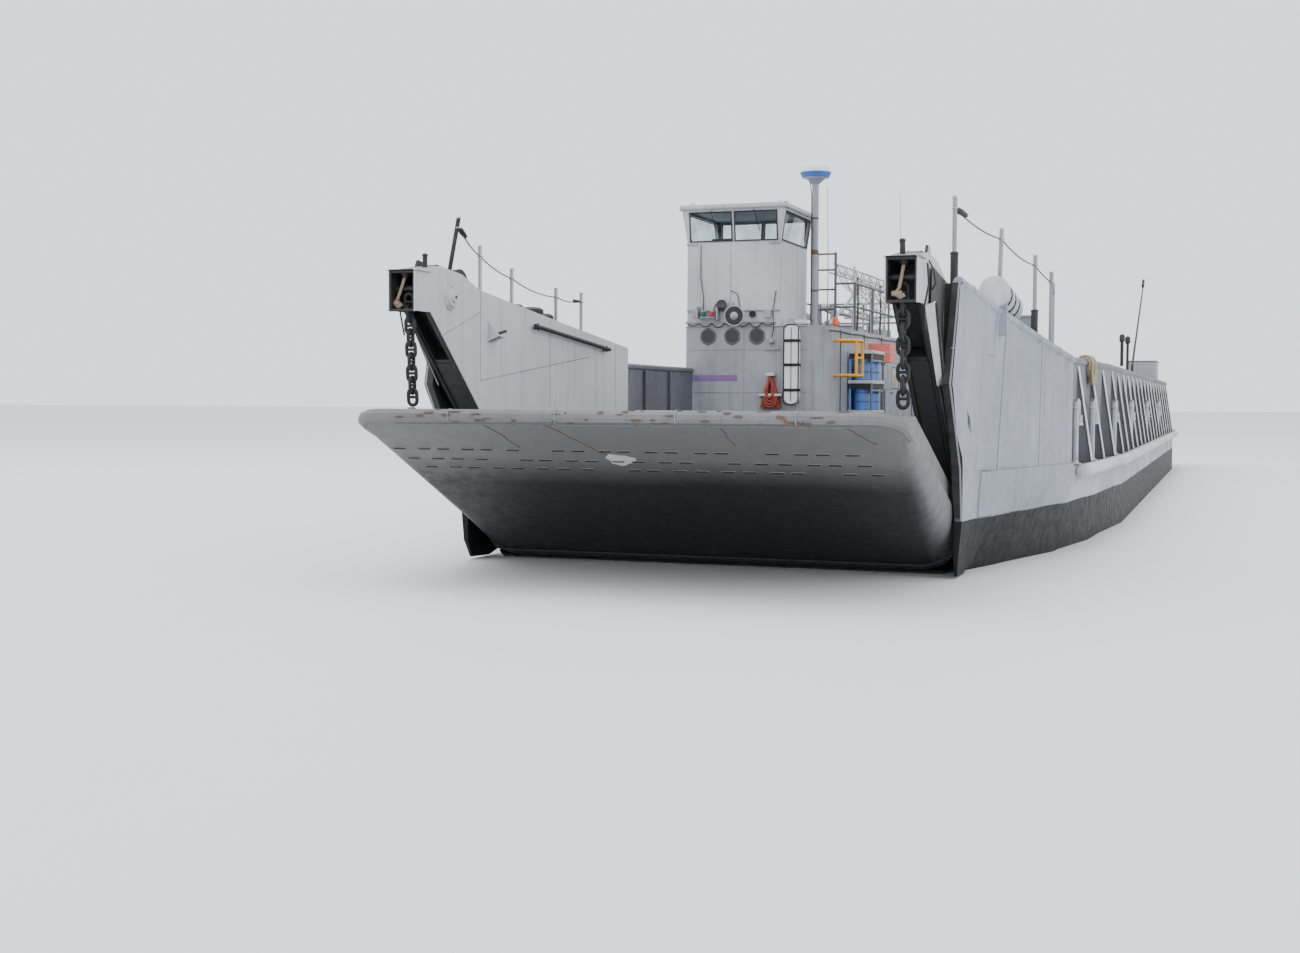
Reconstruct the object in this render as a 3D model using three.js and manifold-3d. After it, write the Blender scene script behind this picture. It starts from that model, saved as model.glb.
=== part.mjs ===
// Utility landing craft, drawn in full-size millimetres and halved at the end to a 1:2 scale model.
// X runs to port, Y aft from the bow datum, Z up from the light waterline; the craft's bow faces -Y.
import * as THREE from "three";
import { mergeVertices } from "three/addons/utils/BufferGeometryUtils.js";
import Module from "manifold-3d";

const wasm = await Module();
wasm.setup();

// Driving dimensions
const MODEL_SCALE = 0.5;
const GAP = 0.7; // between pieces that rest on each other
const RUNNING = 14; // between pieces that move past each other
const HALF_BEAM = 4420;
const DECK = 1200;
const DRAUGHT = 1050;
const STERN = 42600;
const BILGE = 380;

// Bow ramp, hung on a through pin, resting partly lowered
const HINGE = { y: 4420, z: 610 };
const RAMP = {
  half: 3150,
  length: 3780,
  rest: THREE.MathUtils.degToRad(20.2),
  lowered: THREE.MathUtils.degToRad(-16),
  heel: 560,
  crest: 80,
  lip: 75,
  pin: 70,
};
const SILL = HINGE.z + RAMP.crest;
const KERB = { inner: 2790, outer: 3110, top: 300, from: 260, to: 3330 };
const EAR = { x: 2930, u: 2820, stand: 60, r: 80, half: 32 };
const HORN = { front: 1690, foot: 3130, top: 3600, pinY: 1850, pinZ: 3400, pin: 32, sheet: 28 };
const LINK = { count: 9, r: 62, bar: 24, stretch: 1.45 };

// Bow bulwarks: inner wall, horn and outer shell
const WALL = { inner: 2770, outer: 3110, aft: 8660 };
const SHELL = { plate: 90, aft: 7980 };

// Superstructure on the starboard side
const HOUSE = { x0: -4290, x1: -1330, y0: 15950, y1: 25900, top: 3600, wall: 90, corner: 350 };
const BRIDGE = { x0: -4270, x1: -2310, y0: 15950, y1: 18020, sill: 5290, head: 5895, eave: 5945, wall: 60 };
const BULWARK = { plate: 60, inset: 230, top: 2700 };
const HATCH = { x: 3300, y: 34000, half: 380, coaming: 1480, lid: 60 };
const SHAFT = { x: 1900, z: -395, nozzleY: 38000, length: 620, inner: 545, outer: 640, tunnel: 760 };

const DEG = Math.PI / 180;
const SIDES = [
  { side: "port", sx: 1 },
  { side: "starboard", sx: -1 },
];

// Geometry helpers: closed solids that can be joined and cut
function solidOf(geometry) {
  const bare = new THREE.BufferGeometry();
  const source = geometry.index ? geometry.toNonIndexed() : geometry;
  bare.setAttribute("position", source.getAttribute("position").clone());
  const merged = mergeVertices(bare, 1e-3);
  const p = merged.attributes.position.array;
  const t = new Uint32Array(merged.index.array);
  let volume = 0;
  const corner = (i) => new THREE.Vector3(p[3 * i], p[3 * i + 1], p[3 * i + 2]);
  for (let i = 0; i < t.length; i += 3) {
    volume += corner(t[i]).dot(corner(t[i + 1]).cross(corner(t[i + 2])));
  }
  if (volume < 0) {
    for (let i = 0; i < t.length; i += 3) [t[i + 1], t[i + 2]] = [t[i + 2], t[i + 1]];
  }
  return new wasm.Manifold(new wasm.Mesh({ numProp: 3, vertProperties: p, triVerts: t }));
}
const join = (...solids) => solids.reduce((a, b) => a.add(b));
const cut = (body, ...tools) => tools.reduce((a, b) => a.subtract(b), body);

function box(x0, x1, y0, y1, z0, z1) {
  const g = new THREE.BoxGeometry(Math.abs(x1 - x0), Math.abs(y1 - y0), Math.abs(z1 - z0));
  return solidOf(g.translate((x0 + x1) / 2, (y0 + y1) / 2, (z0 + z1) / 2));
}

// A cylinder or cone between two points
function rod(a, b, r, n = 12, r2 = r) {
  const from = new THREE.Vector3(...a);
  const to = new THREE.Vector3(...b);
  const along = to.clone().sub(from);
  const g = new THREE.CylinderGeometry(r2, r, along.length(), n);
  g.translate(0, along.length() / 2, 0);
  g.applyQuaternion(
    new THREE.Quaternion().setFromUnitVectors(new THREE.Vector3(0, 1, 0), along.normalize()),
  );
  return solidOf(g.translate(from.x, from.y, from.z));
}

function extrude(points, depth) {
  const shape = new THREE.Shape(points.map(([a, b]) => new THREE.Vector2(a, b)));
  return new THREE.ExtrudeGeometry(shape, { depth, bevelEnabled: false, steps: 1 });
}
// Outline in (y, z), running along X
function prismX(points, x0, x1) {
  const turn = new THREE.Matrix4().makeBasis(
    new THREE.Vector3(0, 1, 0),
    new THREE.Vector3(0, 0, 1),
    new THREE.Vector3(1, 0, 0),
  );
  const [a, b] = [Math.min(x0, x1), Math.max(x0, x1)];
  return solidOf(extrude(points, b - a).applyMatrix4(turn).translate(a, 0, 0));
}
// Outline in (x, z), running along Y
function prismY(points, y0, y1) {
  return solidOf(extrude(points, y1 - y0).rotateX(Math.PI / 2).translate(0, y1, 0));
}
// Outline in (x, y), running along Z
function prismZ(points, z0, z1) {
  return solidOf(extrude(points, z1 - z0).translate(0, 0, z0));
}

// A closed solid through rings of equally many points; the ends are closed by triangulating the ring
function loft(rings) {
  const n = rings[0].length;
  const out = [];
  const put = (...tri) => tri.forEach((q) => out.push(...q));
  for (let k = 0; k + 1 < rings.length; k++) {
    for (let i = 0; i < n; i++) {
      const j = (i + 1) % n;
      put(rings[k][i], rings[k][j], rings[k + 1][j]);
      put(rings[k][i], rings[k + 1][j], rings[k + 1][i]);
    }
  }
  const middle = (ring) => [0, 1, 2].map((c) => ring.reduce((s, q) => s + q[c], 0) / n);
  const [first, last] = [rings[0], rings[rings.length - 1]];
  for (let i = 0; i < n; i++) {
    const j = (i + 1) % n;
    put(middle(first), first[j], first[i]);
    put(middle(last), last[i], last[j]);
  }
  const g = new THREE.BufferGeometry();
  g.setAttribute("position", new THREE.BufferAttribute(new Float32Array(out), 3));
  return solidOf(g);
}

const arc = (cx, cy, r, from, to, n) =>
  Array.from({ length: n + 1 }, (_, i) => {
    const a = from + ((to - from) * i) / n;
    return [cx + r * Math.cos(a), cy + r * Math.sin(a)];
  });
// Value at y from rows of (y, value), straight between rows
function along(rows, y) {
  if (y <= rows[0][0]) return rows[0][1];
  for (let i = 1; i < rows.length; i++) {
    const [[y0, v0], [y1, v1]] = [rows[i - 1], rows[i]];
    if (y <= y1) return v0 + ((v1 - v0) * (y - y0)) / (y1 - y0);
  }
  return rows[rows.length - 1][1];
}

// A bent pipe: one ring at each point, mitred between the runs
function pipe(points, r, n = 8) {
  const at = points.map((q) => new THREE.Vector3(...q));
  const run = at.slice(1).map((q, i) => q.clone().sub(at[i]).normalize());
  let across = new THREE.Vector3(0, 0, 1);
  if (Math.abs(run[0].z) > 0.9) across.set(1, 0, 0);
  across.sub(run[0].clone().multiplyScalar(across.dot(run[0]))).normalize();
  const other = new THREE.Vector3().crossVectors(run[0], across);
  const circle = Array.from({ length: n }, (_, i) => {
    const a = ((i + 0.5) * 2 * Math.PI) / n;
    return across.clone().multiplyScalar(r * Math.cos(a)).addScaledVector(other, r * Math.sin(a));
  });
  const rings = at.map((q, k) => {
    const [before, after] = [run[Math.max(0, k - 1)], run[Math.min(run.length - 1, k)]];
    const face = before.clone().add(after).normalize();
    // each offset slides along the incoming run onto the mitre plane, then follows the bend
    const offsets = circle.map((c) => c.clone().addScaledVector(before, -c.dot(face) / before.dot(face)));
    const turn = new THREE.Quaternion().setFromUnitVectors(before, after);
    circle.forEach((c) => c.applyQuaternion(turn));
    return offsets.map((o) => q.clone().add(o).toArray());
  });
  return loft(rings);
}

// Paints of the craft: name, colour, roughness, metalness
const PAINTS = {
  haze: [0x9ea2a6, 0.6, 0.1],
  haze_light: [0xb3b7bb, 0.6, 0.1],
  deck: [0x5d6266, 0.85, 0.1],
  underwater: [0x2c2a28, 0.8, 0.1],
  black: [0x17181a, 0.8, 0.2],
  steel: [0x6d6f70, 0.5, 0.8],
  bronze: [0x9a7a3c, 0.4, 0.8],
  glass: [0x6e8288, 0.1, 0.0],
  white: [0xd8dcdd, 0.5, 0.0],
  blue: [0x2f5f9e, 0.5, 0.0],
  yellow: [0xd8a520, 0.6, 0.0],
  red: [0xa8402f, 0.7, 0.0],
  rubber: [0x1c1c1c, 0.9, 0.0],
  rope: [0xb59a6a, 0.95, 0.0],
};
const craft = new THREE.Group();
function place(name, paint, solid) {
  const mesh = solid.getMesh();
  const g = new THREE.BufferGeometry();
  const flat = new Float32Array(mesh.numVert * 3);
  for (let i = 0; i < mesh.numVert; i++) {
    flat.set(mesh.vertProperties.subarray(i * mesh.numProp, i * mesh.numProp + 3), 3 * i);
  }
  g.setAttribute("position", new THREE.BufferAttribute(flat, 3));
  g.setIndex(new THREE.BufferAttribute(mesh.triVerts, 1));
  const [color, roughness, metalness] = PAINTS[paint];
  const made = new THREE.Mesh(g, new THREE.MeshStandardMaterial({ color, roughness, metalness }));
  made.name = name;
  craft.add(made);
}

// Hull form. Columns: station y, half beam at deck, half beam at the bilge, bottom, deck
const HULL_STATIONS = [
  [4300, 3270, 3130, -10, SILL],
  [4990, 3440, 3220, -120, SILL],
  [6400, 3790, 3480, -350, 900],
  [8000, 4140, 3830, -640, DECK],
  [10200, 4260, 4120, -DRAUGHT, DECK],
  [14000, HALF_BEAM, HALF_BEAM, -DRAUGHT, DECK],
  [32500, HALF_BEAM, HALF_BEAM, -DRAUGHT, DECK],
  [38600, HALF_BEAM, HALF_BEAM, -440, DECK],
  [41300, 4250, 4150, -190, DECK],
  [42300, 3900, 3700, -60, DECK],
  [STERN, 3550, 3300, -10, DECK],
];
const deckHalf = (y) => along(HULL_STATIONS.map(([at, half]) => [at, half]), y);
const deckHeight = (y) => along(HULL_STATIONS.map((s) => [s[0], s[4]]), y);

function hullRing([y, half, low, bottom, deck]) {
  const r = Math.min(BILGE, deck - bottom - 60);
  const right = arc(low - r, bottom + r, r, -Math.PI / 2, 0, 4).map(([x, z]) => [x, y, z]);
  const left = right.map(([x, , z]) => [-x, y, z]).reverse();
  return [...right, [half, y, deck], [-half, y, deck], ...left];
}

function makeHull() {
  let hull = loft(HULL_STATIONS.map(hullRing));
  // The ramp's heel turns in a hollow across the bow
  hull = cut(hull, rod([-4000, HINGE.y, HINGE.z], [4000, HINGE.y, HINGE.z], RAMP.heel + RUNNING, 36));
  hull = cut(hull, box(-4000, 4000, 3000, HINGE.y + 60, -600, 1500));
  // Screw tunnels, one each side
  for (const { sx } of SIDES) {
    hull = cut(
      hull,
      rod([sx * SHAFT.x, 34900, SHAFT.z], [sx * SHAFT.x, STERN + 200, SHAFT.z], SHAFT.tunnel, 16),
      rod([sx * SHAFT.x, 33600, SHAFT.z], [sx * SHAFT.x, 34901, SHAFT.z], 420, 16, SHAFT.tunnel),
      rod([sx * SHAFT.x, 32700, SHAFT.z], [sx * SHAFT.x, 34000, SHAFT.z], 82, 16),
      rod([sx * SHAFT.x, 40100, 200], [sx * SHAFT.x, 40100, 900], 54, 16),
    );
  }
  // Centre skeg and two shaft skegs reach the keel line, so the craft sits level
  hull = join(
    hull,
    prismX(
      [[32000, -900], [32600, -DRAUGHT], [39800, -DRAUGHT], [40700, -150], [40700, 200], [32000, 200]],
      -110,
      110,
    ),
  );
  // Ramp hinge lugs with the through pin, stern gate lugs with their pin
  for (const x of LUGS) hull = join(hull, hingeLug(x));
  hull = join(hull, rod([-RAMP.half, HINGE.y, HINGE.z], [RAMP.half, HINGE.y, HINGE.z], RAMP.pin, 20));
  for (const x of GATE_LUGS) {
    hull = join(
      hull,
      prismX(
        [
          [GATE.y - 130, DECK - 50],
          [GATE.y - 130, GATE.z],
          ...arc(GATE.y, GATE.z, 90, Math.PI, 0, 8),
          [GATE.y + 90, DECK - 50],
        ],
        x - 40,
        x + 40,
      ),
    );
  }
  hull = join(hull, rod([-GATE.half, GATE.y, GATE.z], [GATE.half, GATE.y, GATE.z], GATE.pin, 16));
  // Raised hatches on the quarter decks, their wells floored
  for (const { sx } of SIDES) {
    const x = sx * HATCH.x;
    const inner = HATCH.half - 50;
    const coaming = box(
      x - HATCH.half,
      x + HATCH.half,
      HATCH.y - HATCH.half,
      HATCH.y + HATCH.half,
      DECK - 50,
      HATCH.coaming,
    );
    const well = box(
      x - inner,
      x + inner,
      HATCH.y - inner,
      HATCH.y + inner,
      DECK - 500,
      HATCH.coaming + 50,
    );
    hull = cut(join(hull, coaming), well);
  }
  // Cheeks run forward beside the ramp's heel. Columns: y, outer x low, outer x high, lower edge
  const cheek = [
    [3840, 3225, 3262, 260],
    [3960, 3195, 3268, 30],
    [4480, 3185, 3314, 10],
    [5060, 3215, 3457, 150],
  ];
  for (const { sx } of SIDES) {
    hull = join(hull, loft(cheek.map(([y, low, high, z]) =>
      [[CHEEK_INNER, z], [low, z], [high, SILL], [CHEEK_INNER, SILL]].map(([x, h]) => [sx * x, y, h]),
    )));
  }
  // Gooseneck vents between the bulwarks and the guard pipes, their bells turned down
  for (const { sx } of SIDES) {
    for (const y of VENTS) {
      if (sx < 0 && y > HOUSE.y0 - 500 && y < HOUSE.y1) continue;
      const x = sx * (deckHalf(y) - 110);
      const neck = [
        [0, DECK - 20],
        [0, 1960],
        [50, 2070],
        [160, 2110],
        [270, 2060],
        [310, 1960],
        [310, 1900],
      ];
      hull = join(hull, pipe(neck.map(([dy, z]) => [x, y + dy, z]), 48, 8));
      hull = join(hull, rod([x, y + 310, 1760], [x, y + 310, 1910], 72, 10));
    }
  }
  // Lashing pads on the load deck
  for (const [x, y] of PADS) {
    hull = join(
      hull,
      box(x - PAD.half, x + PAD.half, y - PAD.half, y + PAD.half, DECK - 20, DECK + PAD.rise),
    );
  }
  // Double bollards on the side decks. Columns: x, y
  for (const [x, y] of BITTS) {
    for (const dy of [-260, 260]) {
      hull = join(hull, rod([x, y + dy, DECK - 20], [x, y + dy, DECK + 440], 85, 8, 110));
    }
  }
  return hull;
}
const CHEEK_INNER = RAMP.half + RUNNING;
const VENTS = [8900, 10650, 13650, 18150, 24150, 30150];
const PAD = { half: 130, rise: 16 };
const PADS = [10000, 16000, 22000, 28000, 34000].flatMap((y) => [[-900, y], [2100, y]]);
const LUGS = [-2700, -1620, -540, 540, 1620, 2700];
const LUG_HALF = 60;
function hingeLug(x) {
  const out = [
    [HINGE.y + 620, SILL - 260],
    [HINGE.y + 620, SILL - 20],
    ...arc(HINGE.y, HINGE.z, 95, Math.PI / 2, (3 * Math.PI) / 2, 8),
  ];
  return prismX(out, x - LUG_HALF, x + LUG_HALF);
}
const GATE = { y: 42330, z: 1330, half: 2300, pin: 45, top: 2750, plate: 110 };
const GATE_LUGS = [-1900, -700, 700, 1900];
const BITTS = [
  [3560, 12400],
  [3560, 27000],
  [3560, 39200],
  [-3560, 12400],
  [-3560, 30500],
  [-3560, 39200],
];

place("hull", "haze", makeHull());

// Bow ramp: a wedge with rounded sides and free corners, a drum heel and a pipe lip.
// u runs from the pin to the lip, v stands on the driven face.
const rampPoint = (u, v) => [
  HINGE.y - u * Math.cos(RAMP.rest) + v * Math.sin(RAMP.rest),
  HINGE.z + u * Math.sin(RAMP.rest) + v * Math.cos(RAMP.rest),
];
const FAR_END = RAMP.length - 20;
const outerFace = (u) => -545 + ((u - 75) * 500) / (FAR_END - 75); // v of the outer face
const CORNER = 330;
// Columns: u, half width
const RAMP_STATIONS = [
  [0, RAMP.half],
  [900, RAMP.half],
  [1900, RAMP.half],
  [2900, RAMP.half],
  ...arc(FAR_END - CORNER, RAMP.half - CORNER, CORNER, Math.PI / 2, 0, 5),
];
function makeRamp() {
  const rings = RAMP_STATIONS.map(([u, half]) => {
    const low = u < 75 ? -535 : outerFace(u);
    const r = Math.min(430, (RAMP.crest - low) * 0.82);
    const right = arc(half - r, low + r, r, -Math.PI / 2, 0, 5);
    const edge = [...right, [half, RAMP.crest - 25], [half - 25, RAMP.crest]];
    const all = [...edge, ...edge.map(([x, v]) => [-x, v]).reverse()];
    return all.map(([x, v]) => [x, ...rampPoint(u, v)]);
  });
  let ramp = loft(rings);
  // Drum heel with rounded rims, kept below the line that lies level when the ramp is down
  const rim = 400;
  const profile = [
    [0, -RAMP.half],
    ...arc(RAMP.heel - rim, -RAMP.half + rim, rim, -Math.PI / 2, 0, 3),
    ...arc(RAMP.heel - rim, RAMP.half - rim, rim, 0, Math.PI / 2, 3),
    [0, RAMP.half],
  ];
  const drumShape = new THREE.LatheGeometry(profile.map(([r, h]) => new THREE.Vector2(r, h)), 36);
  const drum = solidOf(drumShape.rotateZ(Math.PI / 2).translate(0, HINGE.y, HINGE.z));
  const fall = RAMP.rest - RAMP.lowered;
  const level = (d, h) => [
    HINGE.y + d * Math.cos(fall) + h * Math.sin(fall),
    HINGE.z - d * Math.sin(fall) + h * Math.cos(fall),
  ];
  const crest = level(-RAMP.crest * Math.tan((fall / 2)), RAMP.crest);
  const sector = prismX(
    [rampPoint(60, 40), crest, level(900, RAMP.crest), level(900, -1500), rampPoint(60, -1500)],
    -4000,
    4000,
  );
  ramp = join(ramp, drum.intersect(sector));
  const bend = CORNER - 60;
  const turn = arc(RAMP.half - CORNER, FAR_END - bend, bend, 0, Math.PI / 2, 4);
  const lipPath = [
    ...[[RAMP.half - 60, FAR_END - 520], ...turn].map(([x, u]) => [-x, u]),
    ...[[RAMP.half - 60, FAR_END - 520], ...turn].reverse(),
  ].map(([x, u]) => [x, ...rampPoint(u, RAMP.crest - RAMP.lip)]);
  ramp = join(ramp, pipe(lipPath, RAMP.lip, 10));
  // Side kerbs that meet the seats on the bow bulwarks, with the chain ears standing on them
  const kerb = [
    [KERB.from, 60],
    [KERB.from + 60, KERB.top - 40],
    [KERB.from + 120, KERB.top],
    [KERB.to - 300, KERB.top],
    [KERB.to - 60, KERB.top - 90],
    [KERB.to, 60],
  ];
  const earRim = KERB.top + EAR.stand;
  for (const { sx } of SIDES) {
    ramp = join(ramp, prismX(kerb.map(([u, v]) => rampPoint(u, v)), sx * KERB.inner, sx * KERB.outer));
    const ear = [[EAR.u - 130, 200], ...arc(EAR.u, earRim, EAR.r, Math.PI, 0, 8), [EAR.u + 130, 200]];
    ramp = join(
      ramp,
      prismX(ear.map(([u, v]) => rampPoint(u, v)), sx * (EAR.x - EAR.half), sx * (EAR.x + EAR.half)),
    );
  }
  // Pin bore and lug slots
  ramp = cut(ramp, rod([-4000, HINGE.y, HINGE.z], [4000, HINGE.y, HINGE.z], RAMP.pin + 2, 20));
  for (const x of LUGS) {
    const w = LUG_HALF + RUNNING;
    const slot = [
      [HINGE.y, HINGE.z],
      [HINGE.y - 100, HINGE.z + 1200],
      [HINGE.y + 900, HINGE.z + 900],
      [HINGE.y + 900, HINGE.z - 900],
      [HINGE.y - 260, HINGE.z - 1200],
    ];
    ramp = cut(
      ramp,
      prismX(slot, x - w, x + w),
      rod([x - w, HINGE.y, HINGE.z], [x + w, HINGE.y, HINGE.z], 125, 16),
    );
  }
  return ramp;
}
place("bow_ramp", "haze", makeRamp());

// Bow bulwarks. Columns: y, outer half beam, top at the inner wall, top at the shell
const WING_STATIONS = [
  [3300, 3300, 3520, 3440],
  [4300, 3450, 3396, 3268],
  [4980, 3570, 3310, 3150],
  [6510, 3840, 3140, 2900],
  [SHELL.aft, 4120, 2990, 2670],
];
// Lifeline stanchions. Columns: x, y, foot, x at the top, top, top of the socket (0: none)
const STANCHIONS = {
  port: [
    [3190, 3500, 2600, 3190, 4430, 3790],
    [3475, 4980, 2600, 3520, 4210, 3560],
    [3750, 6510, 2600, 3750, 4010, 3290],
    [3885, 7200, 2600, 3885, 3840, 0],
    [3835, 7900, 2600, 3835, 3740, 0],
  ],
  starboard: [
    [3060, 3030, 3450, 2880, 4360, 0],
    [3130, 4130, 2600, 3130, 4110, 0],
    [3130, 5110, 2600, 3130, 3890, 0],
    [3130, 6630, 2600, 3130, 3730, 0],
    [3130, 7590, 2600, 3130, 3720, 0],
  ],
};
// Mushroom vents on the starboard wing. Columns: y, top, cap radius
const MUSHROOMS = [
  [4520, 3470, 100],
  [4800, 3420, 90],
  [5320, 3410, 130],
  [5890, 3400, 170],
  [6300, 3330, 150],
];
// Chain sheaves let into the top of the inner wall. Columns: y, centre, radius
const SHEAVES = [
  [2420, 3600, 120],
  [3030, 3500, 210],
];
const RAFT = { x: 3490, from: 4620, to: 5900, r: 175 };
function makeBowBulwark(side, sx) {
  const base = (y) => deckHeight(y) + GAP;
  // Inner wall with the horn and the ramp's seat along its front edge
  const wallOutline = [
    [HINGE.y + 620, base(HINGE.y + 620)],
    [HINGE.y + 330, SILL + 60],
    [2080, HORN.foot],
    [HORN.front, HORN.foot],
    [HORN.front, HORN.top],
    [2320, 3700],
    [2900, 3640],
    [3400, 3480],
    [5950, 3200],
    [WALL.aft, 2920],
    [WALL.aft, base(WALL.aft)],
    [8000, base(8000)],
    [6400, base(6400)],
  ];
  let wing = prismX(wallOutline, sx * WALL.inner, sx * WALL.outer);
  // The horn is a hood, open in front and below, with the chain's pin across it
  wing = cut(
    wing,
    box(
      sx * (WALL.inner + HORN.sheet),
      sx * (WALL.outer - HORN.sheet),
      1500,
      2330,
      HORN.foot - 20,
      HORN.top - HORN.sheet,
    ),
  );
  wing = join(
    wing,
    rod(
      [sx * (WALL.inner + 20), HORN.pinY, HORN.pinZ],
      [sx * (WALL.outer - 20), HORN.pinY, HORN.pinZ],
      HORN.pin,
      12,
    ),
  );
  // Pocket that takes the ramp's ear when the ramp is up
  const shut = Math.atan2(HORN.foot - SILL - 60, HINGE.y + 330 - 2080);
  const shutPoint = (u, v) => [
    HINGE.y - u * Math.cos(shut) + v * Math.sin(shut),
    HINGE.z + u * Math.sin(shut) + v * Math.cos(shut),
  ];
  const pocket = [[EAR.u - 220, -200], [EAR.u - 220, 490], [EAR.u + 900, 490], [EAR.u + 900, -200]];
  wing = cut(wing, prismX(pocket.map(([u, v]) => shutPoint(u, v)), sx * (EAR.x - 105), sx * (EAR.x + 105)));
  // Wing between the wall and the shell
  const rings = WING_STATIONS.map(([y, half, inTop, outTop]) =>
    [
      [WALL.outer - 20, base(y)],
      [Math.min(half, deckHalf(y)) - 4, base(y)],
      [half, outTop],
      [WALL.outer - 20, inTop - 90],
    ].map(([x, z]) => [sx * x, y, z]),
  );
  const recess = [
    [1000, 300],
    [HINGE.y + 620, 300],
    [HINGE.y + 620, SILL + 60],
    [2400, HORN.foot],
    [1000, HORN.foot],
  ];
  wing = join(wing, cut(loft(rings), prismX(recess, -5000, 5000)));
  // Shell plate runs forward of the wing and down to the cheek, its edge knuckled
  const shellEdge = [
    [5050, base(5050)],
    [4990, SILL + GAP],
    [3850, SILL + GAP],
    [3600, 1310],
    [2880, 2290],
    [3230, 3450],
    [5050, 3140],
  ];
  const plate = prismX(shellEdge, sx * 3000, sx * 4000);
  // Columns: y, outer face at the sill, outer face at the shell's top
  const skin = [
    [2500, 3262, 3265],
    [3300, 3262, 3310],
    [3850, 3264, 3400],
    [4480, 3320, 3500],
    [5100, 3470, 3600],
  ].map(([y, low, high]) => {
    const face = (z) => low + ((high - low) * (z - SILL)) / (3450 - SILL);
    return [[face(0) - SHELL.plate, 0], [face(0), 0], [face(4000), 4000], [face(4000) - SHELL.plate, 4000]].map(
      ([x, z]) => [sx * x, y, z],
    );
  });
  wing = join(wing, plate.intersect(loft(skin)));
  // Half-round rail along the shell's top edge
  const rail = WING_STATIONS.map(([y, half, , top]) => [sx * (half - 28), Math.max(y, 3260), top + 12]);
  wing = join(wing, pipe(rail, 62, 8));
  for (const [x, y, foot, xTop, top, socket] of STANCHIONS[side]) {
    wing = join(wing, rod([sx * x, y, foot], [sx * xTop, y, top], 27, 8));
    if (socket) wing = join(wing, rod([sx * x, y, foot], [sx * x, y, socket], 44, 8));
  }
  for (const [y, z, r] of SHEAVES) wing = join(wing, rod([sx * 2860, y, z], [sx * 3020, y, z], r, 18));
  if (side === "starboard") {
    for (const [y, top, r] of MUSHROOMS) {
      wing = join(wing, rod([-3190, y, 2900], [-3190, y, top - 60], r * 0.55, 8));
      wing = join(
        wing,
        rod([-3190, y, top - 70], [-3190, y, top - 25], r, 14),
        rod([-3190, y, top - 26], [-3190, y, top], r, 14, r * 0.7),
      );
    }
  } else {
    // Life raft canister in its cradle
    const { x, from, to, r } = RAFT;
    wing = join(
      wing,
      rod([x, from, 3420], [x, to, 3290], r, 16),
      box(x - 130, x + 130, from + 200, from + 280, 2900, 3300),
      box(x - 130, x + 130, to - 280, to - 200, 2900, 3200),
      box(x - 180, x + 200, 6750, 7050, 2800, 3230),
    );
  }
  return wing;
}
for (const { side, sx } of SIDES) {
  place("bow_bulwark_" + side, "haze", makeBowBulwark(side, sx));
}

// Side bulwarks with triangular stays outside
function makeBulwark(sx, y0, y1, stays) {
  const ys = [y0, ...HULL_STATIONS.map(([y]) => y).filter((y) => y > y0 && y < y1), y1];
  const lines = ys.map((y) => [
    [deckHalf(y) - BULWARK.inset - BULWARK.plate, DECK + GAP],
    [deckHalf(y) - BULWARK.inset, DECK + GAP],
    [deckHalf(y) - BULWARK.inset, BULWARK.top],
    [deckHalf(y) - BULWARK.inset - BULWARK.plate, BULWARK.top],
  ].map(([x, z]) => [sx * x, y, z]));
  let wall = loft(lines);
  const rail = ys.map((y) => [sx * (deckHalf(y) - BULWARK.inset - BULWARK.plate / 2), y, BULWARK.top + 10]);
  wall = join(wall, pipe(rail, 60, 8));
  for (const y of stays) {
    const x = deckHalf(y) - BULWARK.inset - 10;
    const stay = prismY(
      [[sx * x, DECK + GAP], [sx * (deckHalf(y) - 15), DECK + GAP], [sx * x, BULWARK.top - 60]],
      y - 25,
      y + 25,
    );
    wall = join(wall, stay);
  }
  return wall;
}
const staysBetween = (y0, y1, pitch) => Array.from(
  { length: Math.floor((y1 - y0) / pitch) + 1 },
  (_, i) => y0 + i * pitch,
);
place("side_bulwark_port", "haze", makeBulwark(1, SHELL.aft + 25, 41200, staysBetween(9900, 40400, 1500)));
place(
  "side_bulwark_starboard_forward",
  "haze",
  makeBulwark(-1, SHELL.aft + 25, HOUSE.y0 - 60, staysBetween(9900, 15400, 1500)),
);
place(
  "side_bulwark_starboard_aft",
  "haze",
  makeBulwark(-1, HOUSE.y1 + 60, 41200, staysBetween(26400, 40400, 1500)),
);

// Guard pipes along the deck edge
for (const { side, sx } of SIDES) {
  const ys = [8300, 10200, 14000, 26000, 38600, 41300];
  const flat = 95 * Math.cos(Math.PI / 8);
  const run = ys.map((y) => [sx * (deckHalf(y) + flat + GAP), y, 1130]);
  place("guard_pipe_" + side, "haze_light", pipe(run, 95, 8));
}

// Ramp chains: stud links hanging from the pins in the horns down to the ramp's ears
function makeChain(sx) {
  const foot = rampPoint(EAR.u, KERB.top + EAR.stand + EAR.r);
  const reach = (LINK.r + LINK.bar) * LINK.stretch;
  const top = [HORN.pinY, HORN.pinZ - HORN.pin - reach - GAP];
  const low = [foot[0], foot[1] + reach + GAP];
  const links = Array.from({ length: LINK.count }, (_, i) => {
    const t = i / (LINK.count - 1);
    const g = new THREE.TorusGeometry(LINK.r, LINK.bar, 4, 8).scale(1, LINK.stretch, 1);
    if (i % 2) g.rotateY(Math.PI / 2);
    g.rotateX(Math.PI / 2);
    return solidOf(g.translate(sx * EAR.x, top[0] + (low[0] - top[0]) * t, top[1] + (low[1] - top[1]) * t));
  });
  return join(...links);
}

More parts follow.
